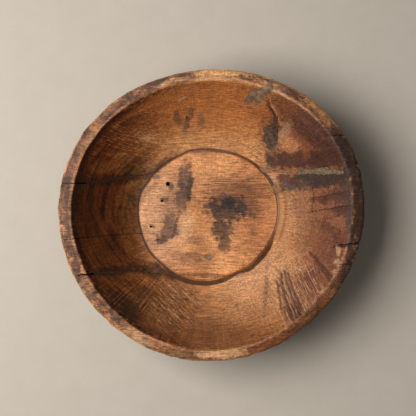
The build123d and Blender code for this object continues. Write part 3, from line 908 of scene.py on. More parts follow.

# %% [markdown]
# ## The plug in the rim, the beetle holes and the cuts
# The plug is a block of wood let into the rim and cut flush with it on all sides, so it is made as carpenters
# think of it: the part of the whole bowl that lies inside the mortise. Then all the cutters are taken out of
# the bowl at once. The faces of a cut take the cutter's material of dirt and painted shade, so the cracks are
# dark inside.

# %% Cut the plug for the rim
MORTISE_DEPTH, MORTISE_WIDTH = 12.0, 12.0
MORTISE_STEP = 3.0
SAW_ALONG, SAW_ACROSS, SAW_SIZE = 0.25, 0.3, 5  # how far the saw strayed, and over what length
SAW_SEEDS = (7, 3)


def upright_block(name, outline, bottom, top):
    """A straight-sided block over an outline, between two levels."""
    points = [(x * MM, y * MM, level * MM) for level in (bottom, top) for x, y in outline]
    count = len(outline)
    faces = [tuple(range(count))[::-1], tuple(range(count, 2 * count))]
    faces += [(side, (side + 1) % count, count + (side + 1) % count, count + side) for side in range(count)]
    mesh = bpy.data.meshes.new(name)
    mesh.from_pydata(points, [], faces)
    return mesh


def cut(piece, operation, others):
    """Runs one boolean of a piece with a group of others."""
    group = bpy.data.collections.new("cutters")
    for other in others:
        group.objects.link(other)
    modifier = piece.modifiers.new("cut", "BOOLEAN")
    modifier.operation = operation
    modifier.operand_type = "COLLECTION"
    modifier.collection = group
    modifier.solver = "MANIFOLD"
    modifier.material_mode = "TRANSFER"
    make_plain(piece)
    bpy.data.collections.remove(group)


def mortise(name, margin):
    """The block of the mortise, a margin larger than the plug."""
    half = MORTISE_WIDTH / 2 + margin
    start, end = plug_start - margin, plug_end + CUT_ABOVE
    corners = [(start, SPLIT_Y - half), (end, SPLIT_Y - half), (end, SPLIT_Y + half), (start, SPLIT_Y + half)]
    sawn = []
    for x, y in along_line([*corners, corners[0]], MORTISE_STEP)[:-1]:
        along = SAW_ALONG * noise.noise((x, y, SAW_SEEDS[0]))
        across = SAW_ACROSS * noise.noise((x / SAW_SIZE, y, SAW_SEEDS[1]))
        sawn.append((x + along, y + across))
    return upright_block(name, sawn, HEIGHT - MORTISE_DEPTH - margin, HEIGHT + CUT_ABOVE)


rim_plug = put_in_scene(
    "split_rim_plug_block", mortise("split_rim_plug", 0.0), materials["dark dry hardwood"]
)
cut(rim_plug, "INTERSECT", [carved_bowl])
rim_plug.data.materials.pop(index=1)
print(f"plug of {len(rim_plug.data.polygons)} faces")

# %% Cut the mortise, the beetle holes, the cracks and the pockets
HOLE_DEPTH, HOLE_RAGGED = 9.0, 0.4
HOLE_SEED = 70
# Each hole as a place on the disc (x, y) and a radius
HOLES = [(-64.5, 52, 3.3), (-74, 25, 2.1), (-91.5, -16, 1.8), (-81, -37, 1.6)]
cutters.append(put_in_scene("mortise", mortise("mortise", FIT), dirt_and_shade_in_cuts))
for number, (x, y, radius) in enumerate(HOLES):
    outline = round_outline(x + DISC_SHIFT[0], y + DISC_SHIFT[1], radius, radius)
    mesh = lump(f"beetle_hole_{number}", outline, HOLE_DEPTH, number + HOLE_SEED, high_face, HOLE_RAGGED)
    cutters.append(put_in_scene(mesh.name, mesh, dirt_and_shade_in_cuts))
cut(carved_bowl, "DIFFERENCE", cutters)
for cutter in cutters:
    bpy.data.objects.remove(cutter)
nearest = [carved_points.find(point.co)[1] for point in carved_bowl.data.vertices]
for name in CARVED:
    values = [carved_values[name][index] for index in nearest]
    carved_bowl.data.attributes[name].data.foreach_set("value", values)
print(f"cut bowl of {len(carved_bowl.data.polygons)} faces, finishes {list(carved_bowl.data.materials)}")

# %% [markdown]
# ## Smooth wood, sharp lips
# Hands wore the wood smooth, while the lips of cracks and pockets stayed crisp. Bevels could show that, but
# shading does it without more faces: all faces are smooth, and edges past an angle stay sharp.

# %% Shade the pieces
SHARP_ANGLE = radians(42)
pieces = {"bowl_body": carved_bowl, "split_rim_plug": rim_plug, **fillings}
for piece in pieces.values():
    piece.data.shade_smooth()
    piece.data.set_sharp_from_angle(angle=SHARP_ANGLE)
print(f"{len(pieces)} pieces of {sum(len(piece.data.polygons) for piece in pieces.values())} faces")

# %% [markdown]
# ## Aged oiled hardwood
# The wood is brown with age and oil, with fibres along the grain, open pores and growth rings about the heart
# of the log. All these patterns read object coordinates, so they run through the block as real wood does: the
# fibres show as long streaks on the disc, and the rings as bands up the two ends.

# %% Functions for any material here
MAPPING = "ShaderNodeMapping"


def start_material(material):
    """Empties a material's tree. Returns it with the object coordinates, which all patterns here read."""
    material.use_nodes = True
    tree = material.node_tree
    tree.nodes.clear()
    return tree, add_node(tree, "ShaderNodeTexCoord").outputs["Object"]


def finish_material(tree, colour, height, strength, depth, roughness, specular=0.5):
    """Ends a material with its colour, a relief of a depth in millimetres, and how matt it is."""
    bump = add_node(tree, "ShaderNodeBump", {"Height": height, "Strength": strength, "Distance": depth * MM})
    surface = {"Base Color": colour, "Normal": bump, "Roughness": roughness, "Specular IOR Level": specular}
    shader = add_node(tree, "ShaderNodeBsdfPrincipled", surface)
    add_node(tree, "ShaderNodeOutputMaterial", {"Surface": shader})


def per_metre(size):
    """The scale that gives a pattern of a size in millimetres."""
    return 1 / (size * MM)


def grain(tree, coords, length, width, detail, roughness=0.6):
    """Noise that is stretched along the grain."""
    scale = (per_metre(length), per_metre(width), per_metre(width))
    place = add_node(tree, MAPPING, {"Vector": coords, "Scale": scale})
    inputs = {"Vector": place, "Scale": 1.0, "Detail": detail, "Roughness": roughness}
    return add_node(tree, NOISE, inputs).outputs[0]


# %% Start the wood: fibres, pores and growth rings
MIX = "ShaderNodeMix"
NOISE_LOW, NOISE_HIGH = 0.3, 0.7  # most of a noise lies between these
FIBRE_LENGTH, FIBRE_WIDTH = 24.0, 1.8  # coarser than real fibres, so that they show from a step away
PORE_LENGTH, PORE_WIDTH = 12.0, 1.2
PORE_START, PORE_FULL = 0.58, 0.72
TONE_SIZE = 62.0
RING_WIDTH, RING_LENGTH = 9.0, 60.0
HEART = (0.0, 20.0, -190.0)  # a point of the heart of the log, under the bowl

tree, coords = start_material(hardwood)
fibres = grain(tree, coords, FIBRE_LENGTH, FIBRE_WIDTH, detail=5.0)
pore_noise = grain(tree, coords, PORE_LENGTH, PORE_WIDTH, detail=1.0)
pore_range = {0: pore_noise, 1: PORE_START, 2: PORE_FULL}
pores = add_node(tree, MAP_RANGE, pore_range, interpolation_type="SMOOTHSTEP")
clouds = {"Vector": coords, "Scale": per_metre(TONE_SIZE), "Detail": 4.0, "Roughness": 0.6}
tones = add_node(tree, NOISE, clouds).outputs[0]
tone = add_node(
    tree, MAP_RANGE, {0: tones, 1: NOISE_LOW, 2: NOISE_HIGH}, interpolation_type="SMOOTHSTEP"
)
heart = [place * MM for place in HEART]
from_heart = add_node(tree, VECTOR_MATH, {0: coords, 1: heart}, operation="SUBTRACT")
in_section = add_node(tree, VECTOR_MATH, {0: from_heart, 1: (0.0, 1.0, 1.0)}, operation="MULTIPLY")
heart_distance = add_node(tree, VECTOR_MATH, {0: in_section}, operation="LENGTH").outputs["Value"]
across, along = per_metre(RING_WIDTH), per_metre(RING_LENGTH)
ring_number = add_node(tree, MATH, {0: heart_distance, 1: across}, operation="MULTIPLY")
along_ring = add_node(tree, VECTOR_MATH, {0: coords, 1: (along, along, 0.0)}, operation="MULTIPLY")
across_rings = add_node(tree, "ShaderNodeCombineXYZ", {"Z": ring_number})
ring_place = add_node(tree, VECTOR_MATH, {0: along_ring, 1: across_rings}, operation="ADD")
ring_noise = {"Vector": ring_place, "Scale": 1.0, "Detail": 3.0, "Distortion": 1.0}
growth_rings = add_node(tree, NOISE, ring_noise).outputs[0]
print(f"grain in {len(tree.nodes)} nodes")

# %% [markdown]
# ## The marks of the tool
# The hollowing tool was drawn from the rim towards the middle, and its marks fan out round the bowl. Noise
# that reads the direction from the middle as a point on a circle, and the distance as its height, is drawn
# out along these lines and has no seam. The same noise with the zone as its height gives patches and streaks
# along the rim. The carving's own attributes say where the rim, the groove and the gouge marks are.

# %% Add the marks of the tool and the attributes of the carving
STREAK_WIDTH, STREAK_LENGTH = 2.6, 70.0
RIM_PATCH_LENGTH, RIM_STREAK_LENGTH = 46.0, 16.0
RIM_PATCH_STEPS, RIM_STREAK_STEPS = 2.5, 18.0  # steps of these patterns in one zone
WALL_MIDDLE, RIM_MIDDLE = 165.0, 218.0  # distances from the middle of the bowl at which these sizes hold
flat_coords = add_node(tree, VECTOR_MATH, {0: coords, 1: (1.0, 1.0, 0.0)}, operation="MULTIPLY").outputs[0]
zone = add_node(tree, "ShaderNodeAttribute", attribute_name="zone").outputs["Fac"]
gouge_mark = add_node(tree, "ShaderNodeAttribute", attribute_name="gouge").outputs["Fac"]


def round_noise(width, middle, height, height_scale, detail):
    """Noise round the bowl: its width lies across the direction, and it is drawn out along a height."""
    direction = add_node(tree, VECTOR_MATH, {0: flat_coords}, operation="NORMALIZE")
    on_circle = add_node(tree, VECTOR_MATH, {0: direction, "Scale": middle / width}, operation="SCALE")
    drawn_out = add_node(tree, MATH, {0: height, 1: height_scale}, operation="MULTIPLY")
    up_circle = add_node(tree, "ShaderNodeCombineXYZ", {"Z": drawn_out})
    circle_place = add_node(tree, VECTOR_MATH, {0: on_circle, 1: up_circle}, operation="ADD")
    inputs = {"Vector": circle_place, "Scale": 1.0, "Detail": detail, "Roughness": 0.65}
    return add_node(tree, NOISE, inputs).outputs[0]


distance = add_node(tree, VECTOR_MATH, {0: flat_coords}, operation="LENGTH").outputs["Value"]
streaks = round_noise(STREAK_WIDTH, WALL_MIDDLE, distance, per_metre(STREAK_LENGTH), detail=3.0)
rim_patches = round_noise(RIM_PATCH_LENGTH, RIM_MIDDLE, zone, RIM_PATCH_STEPS, detail=4.0)
rim_streaks = round_noise(RIM_STREAK_LENGTH, RIM_MIDDLE, zone, RIM_STREAK_STEPS, detail=4.0)
print(f"{len(tree.nodes)} nodes")

# %% [markdown]
# ## Stains and scratches
# Use left its marks on each part of the bowl: damp, soot, dough and knives. Each stain is a soft oval seen
# from above, laid over the colour so far. Its edge wanders with a slow noise and frays along the fibres, the
# marks of the tool or in small blotches, as a stain that soaks into wood does. A scuff is an oval too, and
# shows only where one of its own fine parallel lines runs.

# %% Where stains wander and fray
STAIN_WANDER, WANDER_LENGTH = 14.0, 18.0
BLOTCH_SIZE = 7.0
stray = STAIN_WANDER * MM
slow_noise = {"Vector": coords, "Scale": per_metre(WANDER_LENGTH), "Detail": 4.0, "Roughness": 0.55}
wander = add_node(tree, NOISE, slow_noise).outputs["Color"]
strayed = {0: wander, 1: (stray, stray, 0.0), 2: flat_coords}
wandering = add_node(tree, VECTOR_MATH, strayed, operation="MULTIPLY_ADD")
half_stray = (stray / 2, stray / 2, 0.0)
stain_place = add_node(tree, VECTOR_MATH, {0: wandering, 1: half_stray}, operation="SUBTRACT")
spots = {"Vector": coords, "Scale": per_metre(BLOTCH_SIZE), "Detail": 4.0}
blotches = add_node(tree, NOISE, spots).outputs[0]
along_fibres, along_streaks, in_blotches = (
    add_node(tree, MAP_RANGE, {0: pattern, 1: NOISE_LOW, 2: NOISE_HIGH, 3: -0.5, 4: 0.5})
    for pattern in (fibres, streaks, blotches)
)
print(f"stains wander by {STAIN_WANDER / 2:.0f} mm")

# %% Functions that lay stains and scuffs
SCRATCH_LENGTH, SCRATCH_WIDTH = 26.0, 1.8  # coarser than real scratches, so that they show
SCRATCH_START, SCRATCH_END = -0.03, 0.09  # where a line fades in, about the share of bare wood
SCUFF_SOFTNESS, SCUFF_FRAY = 0.4, 1.2


def lay_patch(colour, oval, tint, strength, softness=0.6, fray=0.8, edge=in_blotches):
    """Lays one colour over another inside an oval (x, y, half sizes, turn in degrees) with a frayed edge."""
    x, y, half_x, half_y, turn = oval
    place = add_node(
        tree, MAPPING,
        {"Vector": stain_place, "Location": (x * MM, y * MM, 0.0), "Rotation": (0.0, 0.0, radians(turn)),
         "Scale": (2 * half_x * MM, 2 * half_y * MM, 1.0)},
        vector_type="TEXTURE",
    )
    # A gradient of twice the oval's size falls from 1 in its middle to a half on its edge
    ball = add_node(tree, "ShaderNodeTexGradient", {"Vector": place}, gradient_type="SPHERICAL").outputs[1]
    frayed = add_node(tree, MATH, {0: edge, 1: -fray / 2, 2: ball}, operation="MULTIPLY_ADD")
    mask = add_node(
        tree, MAP_RANGE, {0: frayed, 1: 0.5 - softness / 2, 2: 0.5 + softness / 2, 3: 0.0, 4: strength},
        interpolation_type="SMOOTHSTEP",
    )
    return add_node(tree, MIX, {"Factor": mask, "A": colour, "B": linear(tint)}, data_type="RGBA")


def lay_stains(colour, stains):
    """Lays stains, each five numbers for its oval and then what lay_patch takes: tint, strength and so on."""
    for stain in stains:
        colour = lay_patch(colour, stain[:5], *stain[5:])
    return colour


def lay_scuffs(colour, scuffs):
    """Lays scuffs (oval, direction of the lines in degrees, tint, strength, share of the wood between)."""
    for *oval, direction, tint, strength, bare in scuffs:
        place = add_node(
            tree, MAPPING,
            {"Vector": flat_coords, "Rotation": (0.0, 0.0, radians(direction)),
             "Scale": (SCRATCH_LENGTH * MM, SCRATCH_WIDTH * MM, 1.0)},
            vector_type="TEXTURE",
        )
        scratches = {"Vector": place, "Scale": 1.0, "Detail": 2.0, "Distortion": 0.8}
        lines = add_node(tree, NOISE, scratches).outputs[0]
        fading = {0: lines, 1: bare + SCRATCH_START, 2: bare + SCRATCH_END, 3: 1.0, 4: 0.0}
        between_lines = add_node(tree, MAP_RANGE, fading)
        colour = lay_patch(colour, oval, tint, strength, SCUFF_SOFTNESS, SCUFF_FRAY, between_lines)
    return colour


# %% [markdown]
# ## The wall
# The wall is the busiest part of the photograph: an orange top, a dark left end that is partly the wood's own
# tone and partly painted shade, soot along the cracks and grey dirt under the right rim. A painted picture
# could hold all that, but it would be fixed to one mesh. So it is a list of stains, broad ones first, each
# with its place in millimetres.

# %% Lay the ground of the wall and its stains
WALL_DARK, WALL_LIGHT = "8c522a", "b97c48"
WALL_STAINS = [
    # Broad tints: orange top, tan floor, dark left end that is partly painted shade, red upper left, brown
    # right, maroon upper right
    (-10, 165, 116, 40, 0, "bc713a", 0.88, 0.7, 0.4, along_fibres),
    (18, 0, 135, 140, 0, "c3844f", 0.7, 0.3, 0.4, along_streaks),
    (-166, 0, 70, 130, 0, "552709", 0.96, 0.55, 0.4, along_streaks),
    (-160, 108, 68, 44, 35, "71330f", 0.9, 0.6, 0.6, along_fibres),
    (190, 5, 62, 115, 0, "7c4c34", 0.8, 0.5, 0.5, along_streaks),
    (156, 128, 70, 38, -42, "6a3f2c", 0.92, 0.5, 0.6, along_fibres),
    # A pale place of the upper right, then the lower right, the bottom and the lower left
    (116, 110, 26, 16, -50, "b0744a", 0.75, 0.5, 0.4, along_fibres),
    (168, -105, 28, 62, -35, "6e4434", 0.75, 0.5, 0.6, along_streaks),
    (85, -112, 70, 46, 20, "cb9468", 0.65, 0.6, 0.6, along_streaks),
    (0, -184, 130, 20, 0, "78492a", 0.75, 0.6, 0.6, along_fibres),
    (-8, -156, 60, 20, 0, "956848", 0.35, 0.6, 0.6, along_fibres),
    (-150, -105, 45, 45, 0, "76411d", 0.6, 0.6, 0.5, along_streaks),
    (-64, -124, 38, 28, -30, "76431f", 0.65, 0.6, 0.8, along_streaks),
    (-84, -170, 40, 16, -24, "6e3a1e", 0.6, 0.7, 0.8, along_streaks),
    # Darker and lighter places of the left end
    (-106, 65, 36, 9, 8, "432711", 0.6, 0.7, 0.6, along_fibres),
    (-136, 18, 12, 52, 0, "80501e", 0.4, 0.7, 0.8, along_streaks),
    (-112, 44, 13, 22, 0, "8a5a2a", 0.5, 0.7, 0.8, along_streaks),
    (-126, 88, 34, 16, 30, "8f5c30", 0.5, 0.7, 0.8, along_fibres),
    (-128, -40, 14, 26, 0, "7e4c1c", 0.35, 0.7, 0.8, along_streaks),
    (-178, -50, 10, 30, -12, "7a4718", 0.5, 0.7),
    (-192, 40, 9, 34, 10, "32170a", 0.5, 0.7),
    (-195, 50, 12, 9, 0, "4a3a28", 0.5, 0.7),
    # Dark streaks and brown places of the upper right, maroon about the gouges of the lower right
    (160, 114, 34, 7, -38, "46261a", 0.6, 0.6, 0.9, along_fibres),
    (180, 96, 22, 7, -25, "46261a", 0.6, 0.6, 0.9, along_fibres),
    (132, 140, 8, 20, 30, "4c2c1c", 0.5, 0.6, 0.9),
    (104, 166, 22, 12, -36, "6b3f22", 0.7, 0.6, 0.8, along_fibres),
    (190, 103, 13, 32, 30, "432c25", 0.75),
    (72, 98, 22, 8, -40, "8c5a34", 0.5, 0.6, 0.8, along_fibres),
    (78, 160, 24, 15, -30, "96592f", 0.55, 0.6, 0.8, along_fibres),
    (150, -106, 38, 26, 48, "7a4730", 0.8, 0.5, 0.9, along_streaks),
    (120, -122, 11, 32, 22, "684036", 0.65, 0.6, 0.8, along_streaks),
    # Grey dirt under the right rim
    (208, 14, 8, 60, 2, "4d3d38", 0.85, 0.6, 0.3, along_streaks),
    # Dark bar above the split and dark wedge below it, with rust beside the bar
    (146, 86, 66, 14, -2, "482a1f", 0.94, 0.3, 0.5),
    (163, 55, 56, 14, 4, "382c25", 0.95, 0.35, 0.6),
    (126, 46, 26, 9, 12, "4e3c30", 0.8, 0.5, 0.6),
    (146, 98, 5, 11, 0, "8f4a2a", 0.5, 0.6, 0.4),
    (141, 110, 6, 6, 0, "8a4a2e", 0.5, 0.6, 0.4),
    (100, 84, 17, 11, -10, "4e2c20", 0.85, 0.5, 0.6),
    (119, 58, 19, 8, -12, "5a3226", 0.9, 0.45, 0.6),
    # Bare wood where the split meets the disc
    (82, 86, 5, 10, 30, "bd8050", 0.7, 0.4, 0.4),
    (101, 57, 5, 11, 25, "c4885a", 0.8, 0.4, 0.4),
    (98, 46, 6, 24, 22, "756450", 0.5, 0.5, 0.6),
    # Smudges of the right and the lower right
    (169, 24, 14, 6, 0, "532b20", 0.8, 0.5, 0.6),
    (196, 8, 10, 7, 0, "4e2a20", 0.8, 0.5, 0.6),
    (180, -20, 18, 9, -20, "543128", 0.65, 0.6, 0.7),
    (192, -40, 12, 14, 0, "543128", 0.6, 0.6, 0.7),
    (190, 30, 14, 9, 0, "4a2a20", 0.7, 0.6, 0.7),
    (170, -56, 26, 22, -30, "6e4332", 0.5),
    (120, -148, 12, 9, 30, "5a352a", 0.7, 0.6, 0.8, along_streaks),
    (140, 14, 16, 20, 0, "8a583c", 0.5, 0.7, 0.8, along_streaks),
    (197, 30, 13, 24, 0, "4c3730", 0.6, 0.6, 0.7),
    (152, -90, 18, 10, -50, "6b4436", 0.5, 0.6, 0.8, along_streaks),
    (92, -124, 14, 16, 0, "9c6844", 0.4, 0.7, 0.8, along_streaks),
    (84, -147, 26, 16, 10, "a06a42", 0.5, 0.7, 0.6, along_streaks),
    # Broad marks of the gouge in the lower right
    (86, -114, 3.5, 34, -8, "5e4030", 0.55, 0.6, 0.8, along_streaks),
    (113, -128, 4, 30, 10, "4a2c26", 0.5, 0.6, 0.8, along_streaks),
    (130, -149, 7, 12, 30, "3c2420", 0.6),
    # Soot and bare wood about the knot, the dark crack above it and the bare ridge beside that
    (92, 120, 15, 28, 8, "4e3527", 0.7, 0.5, 0.6),
    (112, 128, 6, 18, -25, "b08a6a", 0.5, 0.6, 0.6),
    (96, 154, 2.2, 22, 28, "3c2417", 0.8, 0.5, 0.3),
    (100, 156, 1.8, 20, 28, "c89868", 0.45, 0.5, 0.3),
    # Putty smeared about the patch in the rim
    (70, 181, 20, 9, 28, "8a6c52", 0.75, 0.5, 1.0),
    # Burnt patch of the lower left, soot along the cracks
    (-121, -147, 44, 16, -43, "382418", 0.85, 0.4, 1.0, along_streaks),
    (-104, -124, 22, 13, -40, "4a2c14", 0.6, 0.6, 0.9, along_streaks),
    (-142, -85, 46, 8, 3, "22140b", 0.7),
    (-148, 56, 48, 7, 9, "2a180b", 0.65, 0.7, 0.6),
    # Four-lobed smudge of the top, with a peg hole, and a scuff above it
    (-52, 151, 6, 10, 20, "6d4e3a", 0.75, 0.4, 0.4),
    (-40, 141, 5, 11, -15, "6d4e3a", 0.8, 0.4, 0.4),
    (-32, 158, 5, 11, -15, "6d4e3a", 0.75, 0.4, 0.4),
    (-17, 150, 6, 10, 10, "75583f", 0.6, 0.45, 0.4),
    (-40, 152, 2.5, 2, 0, "24160f", 0.9, 0.4, 0.2),
    (-46, 178, 8, 2, 25, "c49a74", 0.7, 0.4, 0.3),
    # Dark purple places of the upper and lower right, a bare one of the lower left
    (160, 137, 17, 28, 40, "33262a", 0.5),
    (147, -103, 10, 24, -42, "552f2c", 0.45),
    (-96, -161, 16, 10, -30, "ab683c", 0.4, 0.6, 0.8, along_streaks),
    # Dirt in the cracks and hairlines of the right
    (182, 31, 24, 1.3, 10, "21140e", 0.4, 0.5, 0.15),
    (180, 10, 30, 1.3, 11, "21140e", 0.5, 0.5, 0.15),
    (184, -3, 19, 1.3, 17, "21140e", 0.35, 0.5, 0.15),
    (159, 24, 1.3, 19, 0, "21140e", 0.35, 0.5, 0.15),
    (195, -45, 13, 2.2, 16, "1a100b", 0.85, 0.5, 0.15),
    # Bare patch of the left, chips under the right rim
    (-168, 75, 17, 8, 20, "8d5a30", 0.6, 0.5, 0.6, along_streaks),
    (191, -53, 3, 7, 0, "b48c66", 0.85, 0.3, 0.6),
    (188, -71, 4, 6, -20, "b48c66", 0.85, 0.3, 0.6),
    (184, -84, 3, 3, 0, "b48c66", 0.8, 0.3, 0.6),
    (166, -113, 4, 3, 20, "b48c66", 0.8, 0.3, 0.6),
]
WALL_SCUFFS = [
    # Upper left along the grain, lower left across it in light and dark, lower right along the gouges, right
    # beside the disc, above the disc and round its upper right
    (-118, 116, 78, 34, 0, -14, "b47a48", 0.6, 0.5),
    (-110, 126, 20, 8, -10, -12, "b98a62", 0.7, 0.44),
    (-58, -138, 40, 36, 0, -46, "c49468", 0.65, 0.5),
    (-56, -140, 42, 36, 0, -40, "5a3820", 0.7, 0.5),
    (122, -118, 60, 55, 0, -70, "c99a70", 0.5, 0.5),
    (135, -5, 30, 50, 0, -58, "c6935f", 0.55, 0.5),
    (143, -8, 24, 48, 0, -58, "6a4129", 0.6, 0.52),
    (-30, 118, 80, 20, 0, 3, "cf9660", 0.6, 0.5),
    (66, 104, 28, 16, 0, -32, "cf9660", 0.7, 0.5),
]
ground = {"Factor": tone, "A": linear(WALL_DARK), "B": linear(WALL_LIGHT)}
wall = add_node(tree, MIX, ground, data_type="RGBA")
wall = lay_scuffs(lay_stains(wall, WALL_STAINS), WALL_SCUFFS)
print(f"{len(WALL_STAINS)} stains and {len(WALL_SCUFFS)} scuffs on the wall, {len(tree.nodes)} nodes")

# %% Lay painted shadow under the rim, round the left half
RIM_SHADOW_START, RIM_SHADOW_FULL = 2.02, 2.3  # zones at the top of the wall
# Painted shadow: the shade that the rim's inner edge casts on the top of the wall, laid as a near-black
# colour
RIM_SHADOW_OVAL, RIM_SHADOW_DARK, RIM_SHADOW_STRENGTH = (-150, 40, 130, 200, 25), "180c05", 0.85
rim_shadow_mask = add_node(tree, MAP_RANGE, {0: zone, 1: RIM_SHADOW_START, 2: RIM_SHADOW_FULL, 3: 0.0, 4: RIM_SHADOW_STRENGTH})
wall = lay_patch(wall, RIM_SHADOW_OVAL, RIM_SHADOW_DARK, rim_shadow_mask, softness=0.5)
print(f"{len(tree.nodes)} nodes")

# %% [markdown]
# ## The disc
# The disc is paler than the wall, and its stains stand alone: a tall bar, a large stain with three dark
# places, and spots about the beetle holes. The disc could be a mesh of its own with its own material, but it
# is one block with the bowl, so the zone of the carving keeps its colours on it.

# %% Lay the disc over the wall, with its stains
DISC_DARK, DISC_LIGHT = "b06f40", "d9965f"
DISC_END, GROOVE_START = 0.75, 0.9  # zones on the rounded edge of the disc
DISC_STAINS = [
    # Pink left, orange right, and brown and pale shades between the stains
    (-82, -5, 34, 80, 0, "c2936e", 0.6, 0.6, 0.4, along_fibres),
    (74, 0, 42, 84, 0, "a5653a", 0.75, 0.6, 0.4, along_fibres),
    (-64, 8, 15, 30, 0, "8a5d42", 0.45, 0.6, 0.6, along_fibres),
    (34, 46, 40, 22, 0, "8a5634", 0.55, 0.7, 0.9, along_fibres),
    (32, 24, 46, 30, 0, "7a4b2d", 0.7, 0.4, 0.8, along_fibres),
    (-24, -40, 16, 6, 0, "895a3d", 0.6, 0.5, 0.8, along_fibres),
    (-32, -66, 26, 8, 0, "895c40", 0.6, 0.5, 0.8, along_fibres),
    (-36, -9, 11, 15, 0, "dba676", 0.6, 0.6, 0.6, along_fibres),
    (-43, -26, 12, 20, 0, "dba676", 0.5, 0.6, 0.6, along_fibres),
    # The tall bar, darker on its right, and the patch lower left of it
    (-42, 57, 11, 26, -3, "6a4c3b", 0.85, 0.3, 0.6),
    (-44, 30, 12, 25, -6, "664736", 0.88, 0.25, 0.6),
    (-35, 44, 4, 30, -2, "443025", 0.8, 0.5),
    (-67, -20, 13, 22, -14, "714f3d", 0.88, 0.25, 0.6),
    (-57, -18, 3, 22, -14, "4e382b", 0.6, 0.5),
    (-80, -38, 10, 7, 0, "5f4232", 0.85, 0.3, 0.6),
    # The large stain with its three dark places and its tail
    (64, 8, 18, 14, 0, "6e482f", 0.6, 0.4, 0.8, along_fibres),
    (25, 8, 34, 20, 0, "4c3628", 0.85, 0.3),
    (17, -23, 17, 18, 0, "4c3527", 0.85, 0.35, 0.6),
    (20, -44, 9, 15, 0, "4c3527", 0.8, 0.4, 0.6),
    (27, 18, 12, 12, 0, "2b2019", 0.85, 0.5, 0.9),
    (6, 12, 8, 13, 0, "36281f", 0.7, 0.5, 0.9),
    (48, 10, 8, 14, 0, "36281f", 0.7, 0.5, 0.9),
    # Small spots, some about the beetle holes
    (-66, 46, 6, 8, 0, "5b3f2e", 0.8, 0.3, 0.4),
    (-85, 59, 6, 5, 0, "6b4d3b", 0.75, 0.4, 0.4),
    (-76, 24, 6, 5, 0, "5b3f2e", 0.75, 0.3, 0.4),
    (-95, -17, 4, 3, 0, "5b3f2e", 0.7, 0.3, 0.4),
    (69, -31, 6, 3, 0, "7a4c30", 0.6, 0.5, 0.4),
]
ground = {"Factor": tone, "A": linear(DISC_DARK), "B": linear(DISC_LIGHT)}
disc = lay_stains(add_node(tree, MIX, ground, data_type="RGBA"), DISC_STAINS)
on_disc = add_node(tree, MAP_RANGE, {0: zone, 1: DISC_END, 2: GROOVE_START, 3: 1.0, 4: 0.0})
colour = add_node(tree, MIX, {"Factor": on_disc, "A": wall, "B": disc}, data_type="RGBA")
print(f"{len(DISC_STAINS)} stains on the disc, {len(tree.nodes)} nodes")

# %% [markdown]
# ## The rim and the outside
# Hands wore the rim: bare pale wood on both its edges, the inner one also a painted highlight, grime along
# its middle, a black right end. The bands along it follow the zone, which counts from 3 at the inner edge to
# 3.5 at the outer one, and the stains lie over them. The outside is out of sight in the photograph and stays
# plain brown wood.

# %% Lay the ground of the rim, with the bands along it
RIM_DARK, RIM_LIGHT = "7c5034", "bd8a60"
RIM_GROUND_STAINS = [
    # Brown left end and lower left, golden top
    (-190, 60, 80, 170, 25, "583c2a", 0.8, 0.5, 1.0),
    (-140, -165, 80, 50, -40, "7b5638", 0.5, 0.6, 0.9),
    (0, 214, 56, 14, 0, "d8a66e", 0.8),
]
STREAK_DARK, STREAK_LIGHT = 0.35, 0.62  # noise of the streaks that counts as dark and as light
WORN_START, WORN_FULL = 0.3, 0.6  # noise of the streaks where the wood is worn least and most, and where the inner bevel's painted highlight is weakest and strongest
LEAST_WORN, MOST_WORN = 0.1, 0.65
GRIME_START, GRIME_FULL, GRIME_STRENGTH = 0.44, 0.53, 0.88
GRIME_BLOTCHES = 0.14  # how far blotches break the edge of the grime
streak_range = {0: rim_streaks, 1: STREAK_DARK, 2: STREAK_LIGHT}
fine = add_node(tree, MAP_RANGE, streak_range, interpolation_type="SMOOTHSTEP")
ground = {"Factor": fine, "A": linear(RIM_DARK), "B": linear(RIM_LIGHT)}
rim = lay_stains(add_node(tree, MIX, ground, data_type="RGBA"), RIM_GROUND_STAINS)
worn_range = {0: rim_streaks, 1: WORN_START, 2: WORN_FULL, 3: LEAST_WORN, 4: MOST_WORN}
wear_and_highlight_level = add_node(tree, MAP_RANGE, worn_range)
grime = add_node(tree, MATH, {0: in_blotches, 1: GRIME_BLOTCHES, 2: rim_patches}, operation="MULTIPLY_ADD")
grime_range = {0: grime, 1: GRIME_START, 2: GRIME_FULL, 3: 0.0, 4: GRIME_STRENGTH}
grime_level = add_node(tree, MAP_RANGE, grime_range, interpolation_type="SMOOTHSTEP")
# Each band as the zones where it starts, is full, has ended and begins to fade, its strength and its tint
rim_bands = (
    # Grime across the middle, worn wood with a painted highlight on the inner bevel, golden wood on the outer
    # edge
    (3.06, 3.12, 3.45, 3.41, grime_level, "4e382b"),
    (2.6, 2.9, 3.15, 3.06, wear_and_highlight_level, "ae7c50"),
    (3.41, 3.47, 3.7, 3.6, wear_and_highlight_level, "c4955a"),
)
for start, full, end, fading, strength, tint in rim_bands:
    from_inner = add_node(tree, MAP_RANGE, {0: zone, 1: start, 2: full})
    from_outer = add_node(tree, MAP_RANGE, {0: zone, 1: end, 2: fading})
    in_band = add_node(tree, MATH, {0: from_inner, 1: from_outer}, operation="MULTIPLY")
    mask = add_node(tree, MATH, {0: strength, 1: in_band}, operation="MULTIPLY")
    rim = add_node(tree, MIX, {"Factor": mask, "A": rim, "B": linear(tint)}, data_type="RGBA")
print(f"{len(rim_bands)} bands along the rim, {len(tree.nodes)} nodes")

